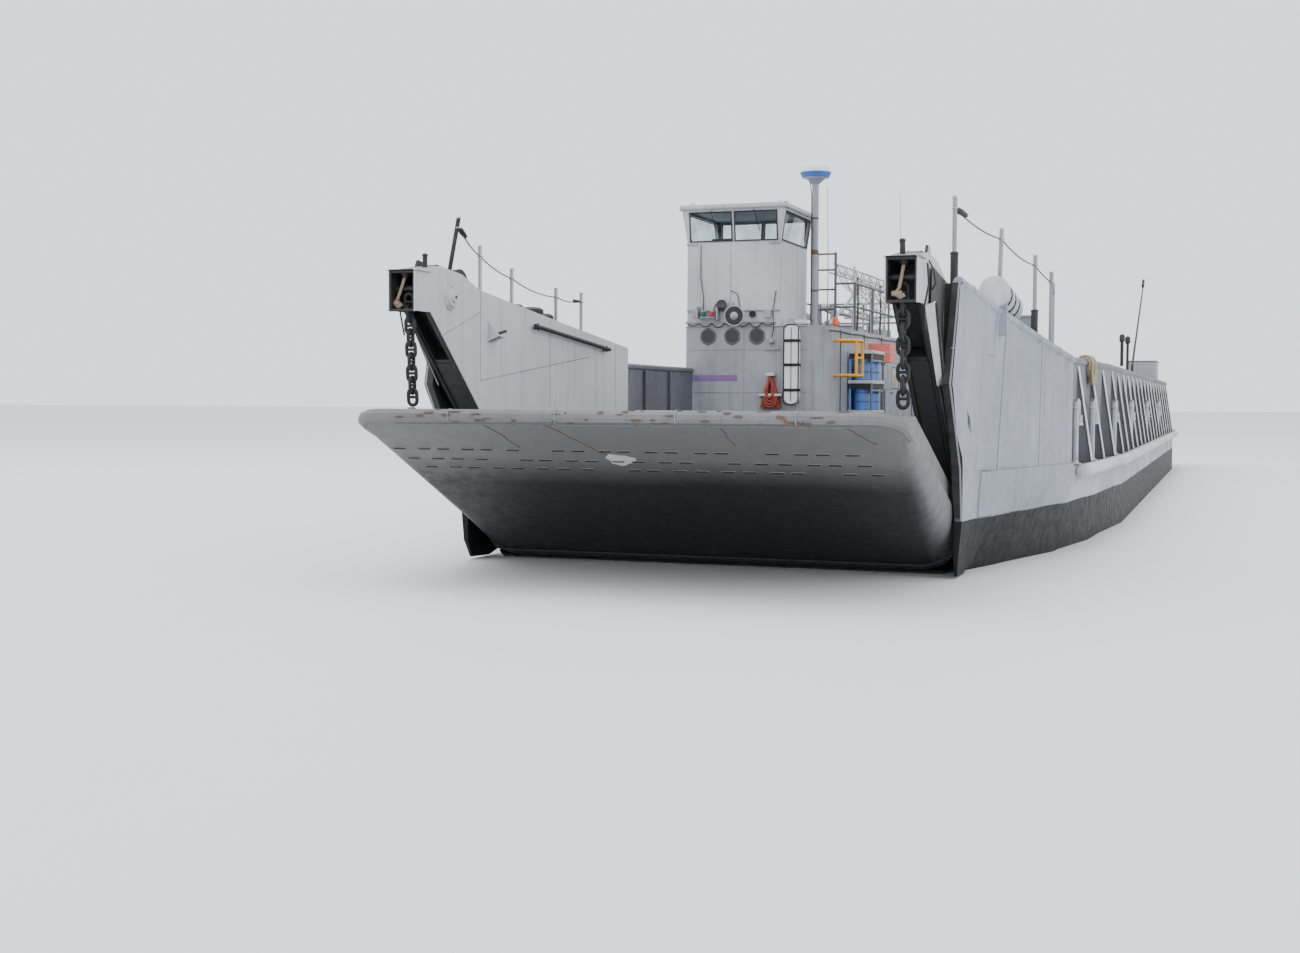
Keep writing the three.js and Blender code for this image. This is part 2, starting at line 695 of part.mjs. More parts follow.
// Stern gate, upright between the quarters, turning on its low pin
function makeGate() {
  let gate = box(
    -GATE.half + 60,
    GATE.half - 60,
    GATE.y - GATE.plate / 2,
    GATE.y + GATE.plate / 2,
    GATE.z,
    GATE.top,
  );
  gate = join(gate, rod([-GATE.half + 60, GATE.y, GATE.z], [GATE.half - 60, GATE.y, GATE.z], 85, 16));
  gate = cut(gate, rod([-GATE.half, GATE.y, GATE.z], [GATE.half, GATE.y, GATE.z], GATE.pin + 2, 16));
  for (const x of GATE_LUGS) {
    gate = cut(
      gate,
      box(x - 40 - RUNNING, x + 40 + RUNNING, GATE.y - 300, GATE.y + 300, GATE.z - 150, GATE.z + 125),
    );
  }
  return gate;
}
place("stern_gate", "haze", makeGate());

// Screws in nozzles, with rudders behind
const SCREW = { hubFront: 37850, hubLength: 330, hub: 95, radius: 520 };
function makeNozzle(sx) {
  const { x, z, nozzleY, length, inner, outer } = SHAFT;
  const section = [
    [inner + 30, -length / 2],
    [outer, -length / 2 + 70],
    [outer, length / 2 - 60],
    [inner + 30, length / 2],
    [inner, length / 4],
    [inner, -length / 6],
  ];
  const lathe = new THREE.LatheGeometry(
    [...section, section[0]].map(([r, h]) => new THREE.Vector2(r, h)),
    28,
  );
  let nozzle = solidOf(lathe.translate(sx * x, 0, 0).translate(0, nozzleY, z));
  const bearing = SHAFT.nozzleY - 230;
  const arms = [90, 210, 330].map((a) => {
    const [c, s] = [Math.cos(a * DEG), Math.sin(a * DEG)];
    return rod(
      [sx * x + 90 * c, bearing, z + 90 * s],
      [sx * x + (inner + 60) * c, bearing, z + (inner + 60) * s],
      32,
      8,
    );
  });
  nozzle = join(nozzle, rod([sx * x, bearing - 90, z], [sx * x, bearing + 60, z], 115, 16), ...arms);
  nozzle = join(
    nozzle,
    box(sx * x - 60, sx * x + 60, nozzleY - 190, nozzleY + 190, z + outer - 40, z + SHAFT.tunnel - 12),
  );
  return cut(nozzle, rod([sx * x, bearing - 200, z], [sx * x, bearing + 200, z], 60, 16));
}
function makeScrew(sx) {
  const { x, z } = SHAFT;
  const y0 = SCREW.hubFront;
  let screw = rod([sx * x, 33100, z], [sx * x, y0 + 20, z], 58, 16);
  screw = join(screw, rod([sx * x, y0, z], [sx * x, y0 + SCREW.hubLength, z], SCREW.hub + 10, 16, 70));
  for (let k = 0; k < 4; k++) {
    // Blade rings run outward. Columns: radius, half chord, pitch angle, thickness
    const blade = [
      [70, 90, 55, 26],
      [220, 150, 42, 20],
      [380, 185, 32, 13],
      [480, 150, 27, 9],
      [SCREW.radius, 60, 25, 6],
    ].map(([r, chord, pitch, thick]) =>
      [[-chord, 0], [0, thick], [chord, 0], [0, -thick]].map(([c, t]) => {
        const [s, co] = [Math.sin(pitch * DEG), Math.cos(pitch * DEG)];
        const across = sx * (c * co - t * s);
        const fore = c * s + t * co;
        const a = (k * Math.PI) / 2 + Math.PI / 4;
        return [
          sx * x + r * Math.cos(a) - across * Math.sin(a),
          y0 + 150 + fore,
          z + r * Math.sin(a) + across * Math.cos(a),
        ];
      }),
    );
    screw = join(screw, loft(blade));
  }
  return screw;
}
const RUDDER = { y: 40100, top: 330, foot: -980, fore: 240, aft: 620 };
function makeRudder(sx) {
  const { x } = SHAFT;
  const foil = [[0, -RUDDER.fore], [75, -90], [85, 60], [0, RUDDER.aft], [-85, 60], [-75, -90]];
  const blade = prismZ(foil.map(([dx, dy]) => [sx * x + dx, RUDDER.y + dy]), RUDDER.foot, 250);
  return join(blade, rod([sx * x, RUDDER.y, 200], [sx * x, RUDDER.y, 850], 52, 16));
}
for (const { side, sx } of SIDES) {
  place("nozzle_" + side, "underwater", makeNozzle(sx));
  place("screw_" + side, "bronze", makeScrew(sx));
  place("rudder_" + side, "underwater", makeRudder(sx));
}

// Deckhouse: hollow, open below where it stands on the deck, round port-front corner
function houseOutline(inset) {
  const { x0, x1, y0, y1, corner } = HOUSE;
  const r = corner - inset;
  return [
    [x0 + inset, y0 + inset],
    ...arc(x1 - corner, y0 + corner, r, -Math.PI / 2, 0, 5),
    [x1 - inset, y1 - inset],
    [x0 + inset, y1 - inset],
  ];
}
const PORTHOLE = { r: 150, z: 3430, xs: [-3820, -3310, -2790] };
const HOUSE_DOOR = { y0: 21300, width: 760, z0: 1420, height: 1700, plate: 50 };
function makeHouse() {
  const { wall, top, y0, x1 } = HOUSE;
  let house = prismZ(houseOutline(0), DECK + GAP, top);
  house = cut(house, prismZ(houseOutline(wall), DECK - 100, top - 70));
  for (const x of PORTHOLE.xs) {
    house = cut(
      house,
      rod([x, y0 - 50, PORTHOLE.z - 30], [x, y0 + 200, PORTHOLE.z - 30], PORTHOLE.r - 30, 16),
    );
  }
  for (const y of [22900, 24100]) house = cut(house, rod([x1 - 200, y, 2750], [x1 + 50, y, 2750], 140, 14));
  const d = HOUSE_DOOR;
  house = cut(
    house,
    box(
      x1 - 200,
      x1 + 50,
      d.y0 + RUNNING,
      d.y0 + d.width - RUNNING,
      d.z0 + RUNNING,
      d.z0 + d.height - RUNNING,
    ),
  );
  // Pad for a mast or an aerial on the roof
  return join(house, box(-3700, -3400, 23000, 23300, top - 20, top + PAD.rise));
}
place("deckhouse", "haze", makeHouse());

// A plain weather door lying on the wall's face, with knuckles along its hinge edge
function wallDoor(d, faceX) {
  const x0 = faceX + GAP;
  return join(
    box(x0, x0 + d.plate, d.y0, d.y0 + d.width, d.z0, d.z0 + d.height),
    rod([x0 + d.plate / 2, d.y0, d.z0 + 150], [x0 + d.plate / 2, d.y0, d.z0 + 330], d.plate / 2, 10),
    rod(
      [x0 + d.plate / 2, d.y0, d.z0 + d.height - 330],
      [x0 + d.plate / 2, d.y0, d.z0 + d.height - 150],
      d.plate / 2,
      10,
    ),
  );
}
place("deckhouse_door", "haze", wallDoor(HOUSE_DOOR, HOUSE.x1));

// Pilothouse: hollow, windows cut all round, standing on the deckhouse roof
const bridgeBase = HOUSE.top + GAP;
const RAKE = 90; // the window band leans out this much at its head
const WINDOWS = { post: 55, corner: 62 };
function makePilothouse() {
  const { x0, x1, y0, y1, sill, eave, wall, head } = BRIDGE;
  const ring = (z, out, inset) => [
    [x0 - out + inset, y0 - out + inset, z],
    [x1 + out - inset, y0 - out + inset, z],
    [x1 + out - inset, y1 + out - inset, z],
    [x0 - out + inset, y1 + out - inset, z],
  ];
  const outer = loft([ring(bridgeBase, 0, 0), ring(sill, 0, 0), ring(eave, RAKE, 0)]);
  const inner = loft(
    [
      ring(bridgeBase - 50, 0, wall),
      ring(sill, 0, wall),
      ring(eave + 20, (RAKE * (eave + 20 - sill)) / (eave - sill), wall),
    ],
  );
  let cabin = cut(outer, inner);
  const xm = (x0 + x1) / 2;
  const { post, corner } = WINDOWS;
  const z0 = sill + 22;
  for (const [a, b] of [[x0 + corner, xm - post / 2], [xm + post / 2, x1 - corner]]) {
    cabin = cut(cabin, box(a, b, y0 - 300, y0 + 300, z0, head), box(a, b, y1 - 300, y1 + 300, z0, head));
  }
  cabin = cut(cabin, box(x0 - 300, x0 + 300, y0 + corner, y1 - corner, z0, head));
  cabin = cut(cabin, box(x1 - 300, x1 + 300, y0 + corner, y1 - corner, z0, head));
  const d = BRIDGE_DOOR;
  cabin = cut(
    cabin,
    box(
      d.x0 + RUNNING,
      d.x0 + d.width - RUNNING,
      y1 - 200,
      y1 + 50,
      d.z0 + RUNNING,
      d.z0 + d.height - RUNNING,
    ),
  );
  return cabin;
}
const BRIDGE_DOOR = { x0: -3050, width: 620, z0: HOUSE.top + 90, height: 1480, plate: 45 };
place("pilothouse", "haze", makePilothouse());
const roofRing = (out, z) => [
  [BRIDGE.x0 - RAKE - out, BRIDGE.y0 - RAKE - out, z],
  [BRIDGE.x1 + RAKE + out, BRIDGE.y0 - RAKE - out, z],
  [BRIDGE.x1 + RAKE + out, BRIDGE.y1 + RAKE + out, z],
  [BRIDGE.x0 - RAKE - out, BRIDGE.y1 + RAKE + out, z],
];
place(
  "pilothouse_roof",
  "haze",
  loft(
    [roofRing(35, BRIDGE.eave + GAP), roofRing(40, BRIDGE.eave + 100), roofRing(-800, BRIDGE.eave + 190)],
  ),
);
{
  const d = BRIDGE_DOOR;
  const y = BRIDGE.y1 + GAP;
  place(
    "pilothouse_door",
    "haze",
    join(
      box(d.x0, d.x0 + d.width, y, y + d.plate, d.z0, d.z0 + d.height),
      rod([d.x0, y + d.plate / 2, d.z0 + 150], [d.x0, y + d.plate / 2, d.z0 + 300], d.plate / 2, 10),
      rod(
        [d.x0, y + d.plate / 2, d.z0 + d.height - 300],
        [d.x0, y + d.plate / 2, d.z0 + d.height - 150],
        d.plate / 2,
        10,
      ),
    ),
  );
}

// Window glass: one band inside the pilothouse walls
{
  const { x0, x1, y0, y1, sill, wall, head } = BRIDGE;
  const lean = (z) => (RAKE * (z - sill)) / (BRIDGE.eave - sill);
  const ring = (z, inset) => [
    [x0 - lean(z) + inset, y0 - lean(z) + inset, z],
    [x1 + lean(z) - inset, y0 - lean(z) + inset, z],
    [x1 + lean(z) - inset, y1 + lean(z) - inset, z],
    [x0 - lean(z) + inset, y1 + lean(z) - inset, z],
  ];
  const [low, high] = [sill + 6, head + 30];
  const outer = loft([ring(low, wall + 1), ring(high, wall + 1)]);
  const inner = loft([ring(low - 20, wall + 17), ring(high + 20, wall + 17)]);
  place("pilothouse_windows", "glass", cut(outer, inner));
}

// Satellite dome on its pole, on the deckhouse roof beside the pilothouse
const POLE = { x: -2030, y: 17600 };
// Columns: radius, height
const DOME = [
  [0, 6630],
  [95, 6630],
  [190, 6720],
  [270, 6730],
  [322, 6835],
  [300, 6850],
  [296, 6930],
  [270, 6985],
  [200, 7025],
  [100, 7042],
  [0, 7046],
];
place(
  "satellite_dome",
  "white",
  join(
    rod([POLE.x, POLE.y, HOUSE.top + GAP], [POLE.x, POLE.y, HOUSE.top + 40], 140, 12),
    rod([POLE.x, POLE.y, HOUSE.top + 20], [POLE.x, POLE.y, 6700], 64, 12),
    solidOf(
      new THREE.LatheGeometry(DOME.map(([r, z]) => new THREE.Vector2(r, z)), 24)
        .rotateX(Math.PI / 2)
        .translate(POLE.x, POLE.y, 0),
    ),
  ),
);

// Folding mast on its foot, folded aft along the deckhouse roof
const MAST = { x: -2200, y: 19300, z: 4150, length: 5200 };
place(
  "mast_foot",
  "haze",
  join(
    box(MAST.x - 190, MAST.x + 190, MAST.y - 200, MAST.y + 200, HOUSE.top + GAP, HOUSE.top + 60),
    prismX(
      [
        [MAST.y - 150, HOUSE.top + 40],
        [MAST.y - 70, MAST.z + 80],
        [MAST.y + 70, MAST.z + 80],
        [MAST.y + 150, HOUSE.top + 40],
      ],
      MAST.x - 170,
      MAST.x - 120,
    ),
    prismX(
      [
        [MAST.y - 150, HOUSE.top + 40],
        [MAST.y - 70, MAST.z + 80],
        [MAST.y + 70, MAST.z + 80],
        [MAST.y + 150, HOUSE.top + 40],
      ],
      MAST.x + 120,
      MAST.x + 170,
    ),
    rod([MAST.x - 150, MAST.y, MAST.z], [MAST.x + 150, MAST.y, MAST.z], 38, 16),
  ),
);
function makeMast() {
  const { x, y, z, length } = MAST;
  const legs = [[-85, -70], [85, -70], [0, 90]];
  let mast = rod([x - 95, y, z], [x + 95, y, z], 75, 16);
  for (const [dx, dz] of legs) {
    mast = join(
      mast,
      pipe(
        [
          [x + dx * 0.9, y, z + dz * 0.4],
          [x + dx, y + 500, z + dz],
          [x + dx * 0.6, y + length, z + dz * 0.6],
        ],
        30,
        5,
      ),
    );
  }
  const n = 5;
  for (let i = 0; i <= n; i++) {
    const t = i / n;
    const k = 1 - 0.4 * t;
    const at = y + 500 + (length - 520) * t;
    for (const [a, b] of [[0, 1], [1, 2], [2, 0]]) {
      mast = join(
        mast,
        rod(
          [x + legs[a][0] * k, at, z + legs[a][1] * k],
          [x + legs[b][0] * k, at, z + legs[b][1] * k],
          20,
          4,
        ),
      );
    }
  }
  mast = join(mast, rod([x - 600, y + length - 900, z], [x + 600, y + length - 900, z], 30, 8));
  return cut(mast, rod([x - 400, y, z], [x + 400, y, z], 40, 16));
}
place("mast", "haze_light", makeMast());
place(
  "mast_crutch",
  "haze",
  join(
    rod([MAST.x, MAST.y + 4300, HOUSE.top + GAP], [MAST.x, MAST.y + 4300, MAST.z - 150], 35, 8),
    rod([MAST.x - 150, MAST.y + 4300, MAST.z - 160], [MAST.x + 150, MAST.y + 4300, MAST.z - 160], 30, 8),
  ),
);

// Rails round the deckhouse roof, aft of the pilothouse
{
  const z = HOUSE.top + GAP;
  const [xa, xb] = [HOUSE.x0 + 90, HOUSE.x1 - 90];
  const [ya, yb] = [BRIDGE.y1 + 350, HOUSE.y1 - 120];
  const ladder = { x: -1850, width: 400, y: 18700, top: 5290 };
  const corners = [[ladder.x, ladder.y], [xb, ladder.y], [xb, yb], [xa, yb], [xa, ya]];
  const posts = [];
  for (let k = 0; k + 1 < corners.length; k++) {
    const [[x0, y0], [x1, y1]] = [corners[k], corners[k + 1]];
    const n = Math.max(1, Math.round(Math.hypot(x1 - x0, y1 - y0) / 1700));
    for (let i = 0; i <= n; i++) posts.push([x0 + ((x1 - x0) * i) / n, y0 + ((y1 - y0) * i) / n]);
  }
  const rails = [520, 1020].map((h) => pipe(corners.map(([x, y]) => [x, y, z + h]), 26, 6));
  // A ladder stands at the rail's forward end, beside the pilothouse
  const stiles = [ladder.x, ladder.x - ladder.width].map(
    (x) => rod([x, ladder.y, z], [x, ladder.y, ladder.top], 30, 6),
  );
  const rungs = [4080, 4500, 4920, 5260].map(
    (h) => rod([ladder.x - ladder.width, ladder.y, h], [ladder.x, ladder.y, h], 20, 6),
  );
  const uprights = posts.map(([x, y]) => rod([x, y, z], [x, y, z + 1030], 28, 6));
  place("roof_rail", "haze_light", join(...rails, ...uprights, ...stiles, ...rungs));
}

// Ladder from the main deck to the deckhouse roof
{
  const [x, y] = [HOUSE.x1 + 150, 25000];
  const stiles = [y - 200, y + 200].map((at) => rod([x, at, DECK + GAP], [x, at, HOUSE.top + 900], 26, 8));
  const rungs = Array.from(
    { length: 8 },
    (_, i) => rod([x, y - 200, DECK + 300 + 300 * i], [x, y + 200, DECK + 300 + 300 * i], 18, 6),
  );
  const feet = [y - 200, y + 200].map(
    (at) => rod([HOUSE.x1 + GAP, at, HOUSE.top - 200], [x, at, HOUSE.top - 200], 22, 6),
  );
  place("house_ladder", "black", join(...stiles, ...rungs, ...feet));
}

// Loud hailer and lamp cluster on the pilothouse front
{
  const face = BRIDGE.y0 - GAP;
  const cone = new THREE.LatheGeometry(
    [[0, 0], [60, 0], [70, 120], [190, 330], [200, 345], [0, 250]].map(([r, h]) => new THREE.Vector2(r, h)),
    20,
  );
  place(
    "loud_hailer",
    "haze_light",
    join(
      solidOf(cone.rotateX(Math.PI).translate(-3150, face - 60, 3790)),
      rod([-3150, face, 3790], [-3150, face - 80, 3790], 45, 10),
    ),
  );
  place(
    "signal_lamps",
    "haze",
    join(
      box(-4000, -3600, face - 60, face, 3740, 3790),
      rod([-3900, face - 100, 3780], [-3900, face - 100, 3920], 55, 12),
      rod([-3700, face - 100, 3780], [-3700, face - 100, 3920], 55, 12),
      box(-3960, -3640, face - 150, face - 30, 3770, 3795),
    ),
  );
}

// Deck gear by the deckhouse
function makeYellowFrame() {
  const { x, ys, z0, z1 } = YELLOW;
  const hoops = ys.map((y) => {
    const wall = HOUSE.x1 + GAP;
    return pipe([[wall, y, z0], [x, y, z0], [x, y, z1], [wall, y, z1]], 32, 8);
  });
  const bars = [z0, (z0 + z1) / 2, z1].map((z) => rod([x, ys[0], z], [x, ys[1], z], 26, 8));
  return join(...hoops, ...bars);
}
const YELLOW = { x: -880, ys: [16500, 17050], z0: 2620, z1: 3320 };
place("yellow_frame", "yellow", makeYellowFrame());
{
  const [x0, x1, y0, y1] = [-1270, -820, 17650, 18800];
  const parts = [];
  for (const x of [x0, x1]) for (const y of [y0, y1]) parts.push(
    rod([x, y, DECK + GAP], [x, y, 3080], 26, 6),
  );
  for (let tier = 0; tier < 3; tier++) {
    const floor = 1290 + tier * 620;
    parts.push(box(x0, x1, y0, y1, floor - 30, floor));
    parts.push(
      box(x0 - 20, x0 + 20, y0, y1, floor + 400, floor + 440),
      box(x1 - 20, x1 + 20, y0, y1, floor + 400, floor + 440),
    );
    for (let k = 0; k < 3; k++) {
      const y = y0 + 210 + k * 365;
      parts.push(rod([(x0 + x1) / 2, y, floor - 10], [(x0 + x1) / 2, y, floor + 560], 178, 12));
      parts.push(box(x0 + 10, x1 - 10, y - 12, y + 12, floor + 405, floor + 435));
    }
  }
  place("drum_rack", "blue", join(...parts));
}
{
  const [x, r, z0, z1] = [-2040, 148, 2040, 3610];
  const outline = [...arc(x, z0 + r, r, Math.PI, 2 * Math.PI, 6), ...arc(x, z1 - r, r, 0, Math.PI, 6)];
  place("rescue_litter", "white", prismY(outline, HOUSE.y0 - 150, HOUSE.y0 - GAP));
}
{
  const [x, y] = [-2475, HOUSE.y0 - GAP];
  const loop = prismY([[x - 215, 1960], [x + 215, 1960], [x + 35, 2620], [x - 35, 2620]], y - 90, y);
  const eye = prismY([[x - 130, 2030], [x + 130, 2030], [x, 2480]], y - 200, y + 100);
  place("hose_rack", "red", join(cut(loop, eye), box(x - 240, x + 240, y - 110, y, 2190, 2250)));
}
// Wall boxes. Columns: name, paint, outer x, y0, y1, z0, z1
const WALL_BOXES = [
  ["locker_red", "red", -860, 19700, 20300, 2960, 3370],
  ["locker_grey", "haze_light", -820, 19700, 20500, 2360, 2890],
];
for (const [name, paint, x, y0, y1, z0, z1] of WALL_BOXES) {
  place(name, paint, box(HOUSE.x1 + GAP, x, y0, y1, z0, z1));
}

// Stern gear
place("stern_locker", "haze", box(3100, 3950, 36500, 38400, DECK + GAP, 3380));
place(
  "stern_winch",
  "steel",
  join(
    box(-3950, -2900, 36800, 38200, DECK + GAP, DECK + 120),
    box(-3900, -3750, 37100, 37900, DECK + 100, 2200),
    box(-3100, -2950, 37100, 37900, DECK + 100, 2200),
    rod([-3800, 37500, 1850], [-3050, 37500, 1850], 300, 20),
  ),
);
{
  const [x, y] = [-2950, STERN];
  place(
    "stern_anchor",
    "black",
    join(
      box(x - 60, x + 60, y + GAP, y + 110, -40, 1150),
      prismX([[y + GAP, -60], [y + 260, 420], [y + 190, 440], [y + GAP, 140]], x - 420, x - 240),
      prismX([[y + GAP, -60], [y + 260, 420], [y + 190, 440], [y + GAP, 140]], x + 240, x + 420),
      box(x - 420, x + 420, y + GAP, y + 120, -60, 110),
    ),
  );
}
{
  const x = -(HALF_BEAM - BULWARK.inset + 110 * Math.cos(Math.PI / 14) + GAP);
  place("fender_starboard", "rubber", rod([x, 15100, 1500], [x, 15100, 2560], 110, 14));
}

// Hinged lids of the raised hatches
for (const { side, sx } of SIDES) {
  const x = sx * HATCH.x;
  place(
    "hatch_lid_" + side,
    "haze",
    join(
      box(
        x - HATCH.half - 20,
        x + HATCH.half + 20,
        HATCH.y - HATCH.half - 20,
        HATCH.y + HATCH.half + 20,
        HATCH.coaming + GAP,
        HATCH.coaming + HATCH.lid,
      ),
      rod(
        [x - 250, HATCH.y + HATCH.half + 40, HATCH.coaming + 35],
        [x + 250, HATCH.y + HATCH.half + 40, HATCH.coaming + 35],
        30,
        10,
      ),
    ),
  );
}

for (const { side, sx } of SIDES) place("ramp_chain_" + side, "black", makeChain(sx));

// Rope hank draped over the port bulwark's rail
{
  const HANK = { y0: 10780, y1: 11330, over: 175, under: 60 + GAP, outboard: 2330, inboard: 2390 };
  const { y0, y1, over, under, outboard, inboard } = HANK;
  const railX = (y) => deckHalf(y) - BULWARK.inset - BULWARK.plate / 2;
  const lean = (railX(y1) - railX(y0)) / (y1 - y0);
  const outline = [
    [under, outboard],
    [over, outboard],
    ...arc(0, BULWARK.top + 10, over, 0, Math.PI, 12),
    [-over, inboard],
    [-under, inboard],
    ...arc(0, BULWARK.top + 10, under, Math.PI, 0, 8),
  ];
  const skew = new THREE.Matrix4().set(
    1,
    lean,
    0,
    railX(y0) - lean * y0,
    0,
    1,
    0,
    0,
    0,
    0,
    1,
    0,
    0,
    0,
    0,
    1,
  );
  const block = extrude(outline, y1 - y0).rotateX(Math.PI / 2).translate(0, y1, 0);
  place("rope_coil", "rope", solidOf(block.applyMatrix4(skew)));
}

// The origin lies midway between the ramp's lip and the stern, on the keel
craft.scale.setScalar(MODEL_SCALE);
craft.updateMatrixWorld(true);
const ends = new THREE.Box3().setFromObject(craft, true);
craft.position.set(0, -(ends.min.y + ends.max.y) / 2, -ends.min.z);

export default craft;
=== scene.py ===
"""Dresses the landing craft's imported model: camera, light, materials and the detail pieces."""

import bpy
import random
from math import cos, pi, radians, sin
from mathutils import Matrix, Vector


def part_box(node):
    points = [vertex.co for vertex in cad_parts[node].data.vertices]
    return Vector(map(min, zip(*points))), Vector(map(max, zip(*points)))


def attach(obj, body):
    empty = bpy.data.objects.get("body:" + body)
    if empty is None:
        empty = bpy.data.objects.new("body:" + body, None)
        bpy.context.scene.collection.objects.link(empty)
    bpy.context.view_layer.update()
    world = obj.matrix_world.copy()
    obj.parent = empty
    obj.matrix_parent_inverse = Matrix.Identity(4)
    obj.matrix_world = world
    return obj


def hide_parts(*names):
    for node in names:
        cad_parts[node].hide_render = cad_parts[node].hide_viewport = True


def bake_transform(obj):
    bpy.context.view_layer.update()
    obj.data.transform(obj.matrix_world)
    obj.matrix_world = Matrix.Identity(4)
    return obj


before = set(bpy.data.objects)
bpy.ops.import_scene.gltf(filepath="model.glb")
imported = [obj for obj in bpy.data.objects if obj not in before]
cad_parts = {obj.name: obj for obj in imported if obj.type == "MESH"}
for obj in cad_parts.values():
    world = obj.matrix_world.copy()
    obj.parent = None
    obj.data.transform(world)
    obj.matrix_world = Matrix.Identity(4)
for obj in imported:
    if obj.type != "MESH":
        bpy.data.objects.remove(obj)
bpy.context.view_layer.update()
rng = random.Random(11)

# Full-size metres: x to port, y aft from the bow datum, z above the waterline
DRAUGHT = 1.05
STERN = 42.6
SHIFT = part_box("hull")[1].y - STERN / 2
WATERLINE = DRAUGHT / 2


def at(x, y, z):
    return Vector((x / 2, y / 2 + SHIFT, (z + DRAUGHT) / 2))


# Camera, solved from the photo: millimetres, radians, full-size metres
LENS, YAW, PITCH, ROLL = 43.99, 0.3513, 0.0473, 0.0043
CAMERA_AT = (6.2165, -14.832, 2.0828)
camera_data = bpy.data.cameras.new("camera")
camera_data.sensor_width = 36
camera_data.lens = LENS
camera_data.clip_end = 500
camera = bpy.data.objects.new("camera", camera_data)
bpy.context.scene.collection.objects.link(camera)
bpy.context.scene.camera = camera
level = Vector((cos(YAW), sin(YAW), 0))
ahead = Vector((-sin(YAW), cos(YAW), 0))
look = ahead * cos(PITCH) - Vector((0, 0, sin(PITCH)))
above = Vector((0, 0, cos(PITCH))) + ahead * sin(PITCH)
right = level * cos(ROLL) + above * sin(ROLL)
up = above * cos(ROLL) - level * sin(ROLL)
turn = Matrix((right, up, -look)).transposed().to_4x4()
camera.matrix_world = Matrix.Translation(at(*CAMERA_AT)) @ turn


# Materials. Places in them are in the part's own metres, half the full size
def linear(r, g, b):
    def one(c):
        c /= 255
        return c / 12.92 if c < 0.04045 else ((c + 0.055) / 1.055) ** 2.4

    return (one(r), one(g), one(b), 1)


def shade(tone, by):
    return linear(*(c * by for c in tone))


class Graph:
    """A material's node tree, with short calls for the nodes used here."""

    def __init__(self, name, roughness=0.5, metallic=0.0):
        self.material = bpy.data.materials.new(name)
        self.material.use_nodes = True
        self.tree = self.material.node_tree
        self.shader = self.tree.nodes["Principled BSDF"]
        self.shader.inputs["Roughness"].default_value = roughness
        self.shader.inputs["Metallic"].default_value = metallic
        coordinates = self.tree.nodes.new("ShaderNodeTexCoord")
        self.place = coordinates.outputs["Object"]
        self.normal = coordinates.outputs["Normal"]

    def feed(self, node, key, value):
        if isinstance(value, bpy.types.NodeSocket):
            self.tree.links.new(value, node.inputs[key])
        else:
            node.inputs[key].default_value = value

    def node(self, kind, inputs=None, **settings):
        made = self.tree.nodes.new(kind)
        for key, value in settings.items():
            setattr(made, key, value)
        for key, value in (inputs or {}).items():
            self.feed(made, key, value)
        return made

    def stretched(self, x, y, z):
        return self.node("ShaderNodeMapping", {"Vector": self.place, "Scale": (x, y, z)}).outputs[0]

    def noise(self, scale, detail=6, rough=0.55, vector=None, distortion=0.0):
        inputs = {"Vector": vector or self.place, "Scale": scale, "Detail": detail}
        inputs.update({"Roughness": rough, "Distortion": distortion})
        return self.node("ShaderNodeTexNoise", inputs).outputs["Fac"]

    def step(self, value, low, high, start=0.0, end=1.0):
        inputs = {"Value": value, "From Min": low, "From Max": high, "To Min": start, "To Max": end}
        return self.node("ShaderNodeMapRange", inputs, clamp=True).outputs[0]

    def calc(self, operation, a, b=0.0, clamp=False):
        return self.node("ShaderNodeMath", {0: a, 1: b}, operation=operation, use_clamp=clamp).outputs[0]

    def times(self, a, b):
        return self.calc("MULTIPLY", a, b, clamp=True)

    def larger(self, a, b):
        return self.calc("MAXIMUM", a, b, clamp=True)

    def mix(self, factor, a, b):
        made = self.node("ShaderNodeMix", data_type="RGBA", blend_type="MIX")
        for index, value in ((0, factor), (6, a), (7, b)):
            self.feed(made, index, value)
        return made.outputs[2]

    def axis(self, vector, index):
        return self.node("ShaderNodeSeparateXYZ", {0: vector}).outputs[index]

    def colour(self, socket):
        self.tree.links.new(socket, self.shader.inputs["Base Color"])

    def roughness(self, socket):
        self.tree.links.new(socket, self.shader.inputs["Roughness"])

    def soft_edges(self, radius):
        return self.node("ShaderNodeBevel", {"Radius": radius}, samples=3).outputs[0]

    def bump(self, height, distance, strength=1.0, normal=None):
        inputs = {"Height": height, "Distance": distance, "Strength": strength}
        if normal is not None:
            inputs["Normal"] = normal
        return self.node("ShaderNodeBump", inputs).outputs[0]

    def bend(self, normal):
        self.tree.links.new(normal, self.shader.inputs["Normal"])


RUST = linear(98, 58, 36)
RUST_PALE = linear(150, 110, 80)
GRIME = linear(66, 64, 62)


def bow_shade_mask(g, aft, top):
    """Mask of painted shade: the bow's forward edges, slots and the insides of its shells, painted black
    where shade falls.

    The shells' insides show forward of aft and below top.
    """
    across, lengthwise, height = (g.axis(g.place, i) for i in range(3))
    hand = g.calc("SIGN", across)
    across = g.calc("ABSOLUTE", across)
    outward = g.calc("MULTIPLY", g.axis(g.normal, 0), hand)
    not_top = g.step(g.axis(g.normal, 2), 0.93, 0.88)
    fore = g.step(lengthwise, -8.45, -8.47)
    core = g.times(g.step(across, 1.388, 1.391), g.step(across, 1.5535, 1.5505))
    core = g.times(g.times(core, not_top), fore)
    beyond = g.times(g.step(across, 1.557, 1.560), g.step(lengthwise, aft, aft - 0.02))
    beyond = g.times(beyond, g.step(height, top, top - 0.01))
    inside = g.times(beyond, g.step(outward, -0.3, -0.6))
    edge = g.times(beyond, g.step(g.axis(g.normal, 1), -0.55, -0.75))
    return g.larger(core, g.larger(inside, edge))


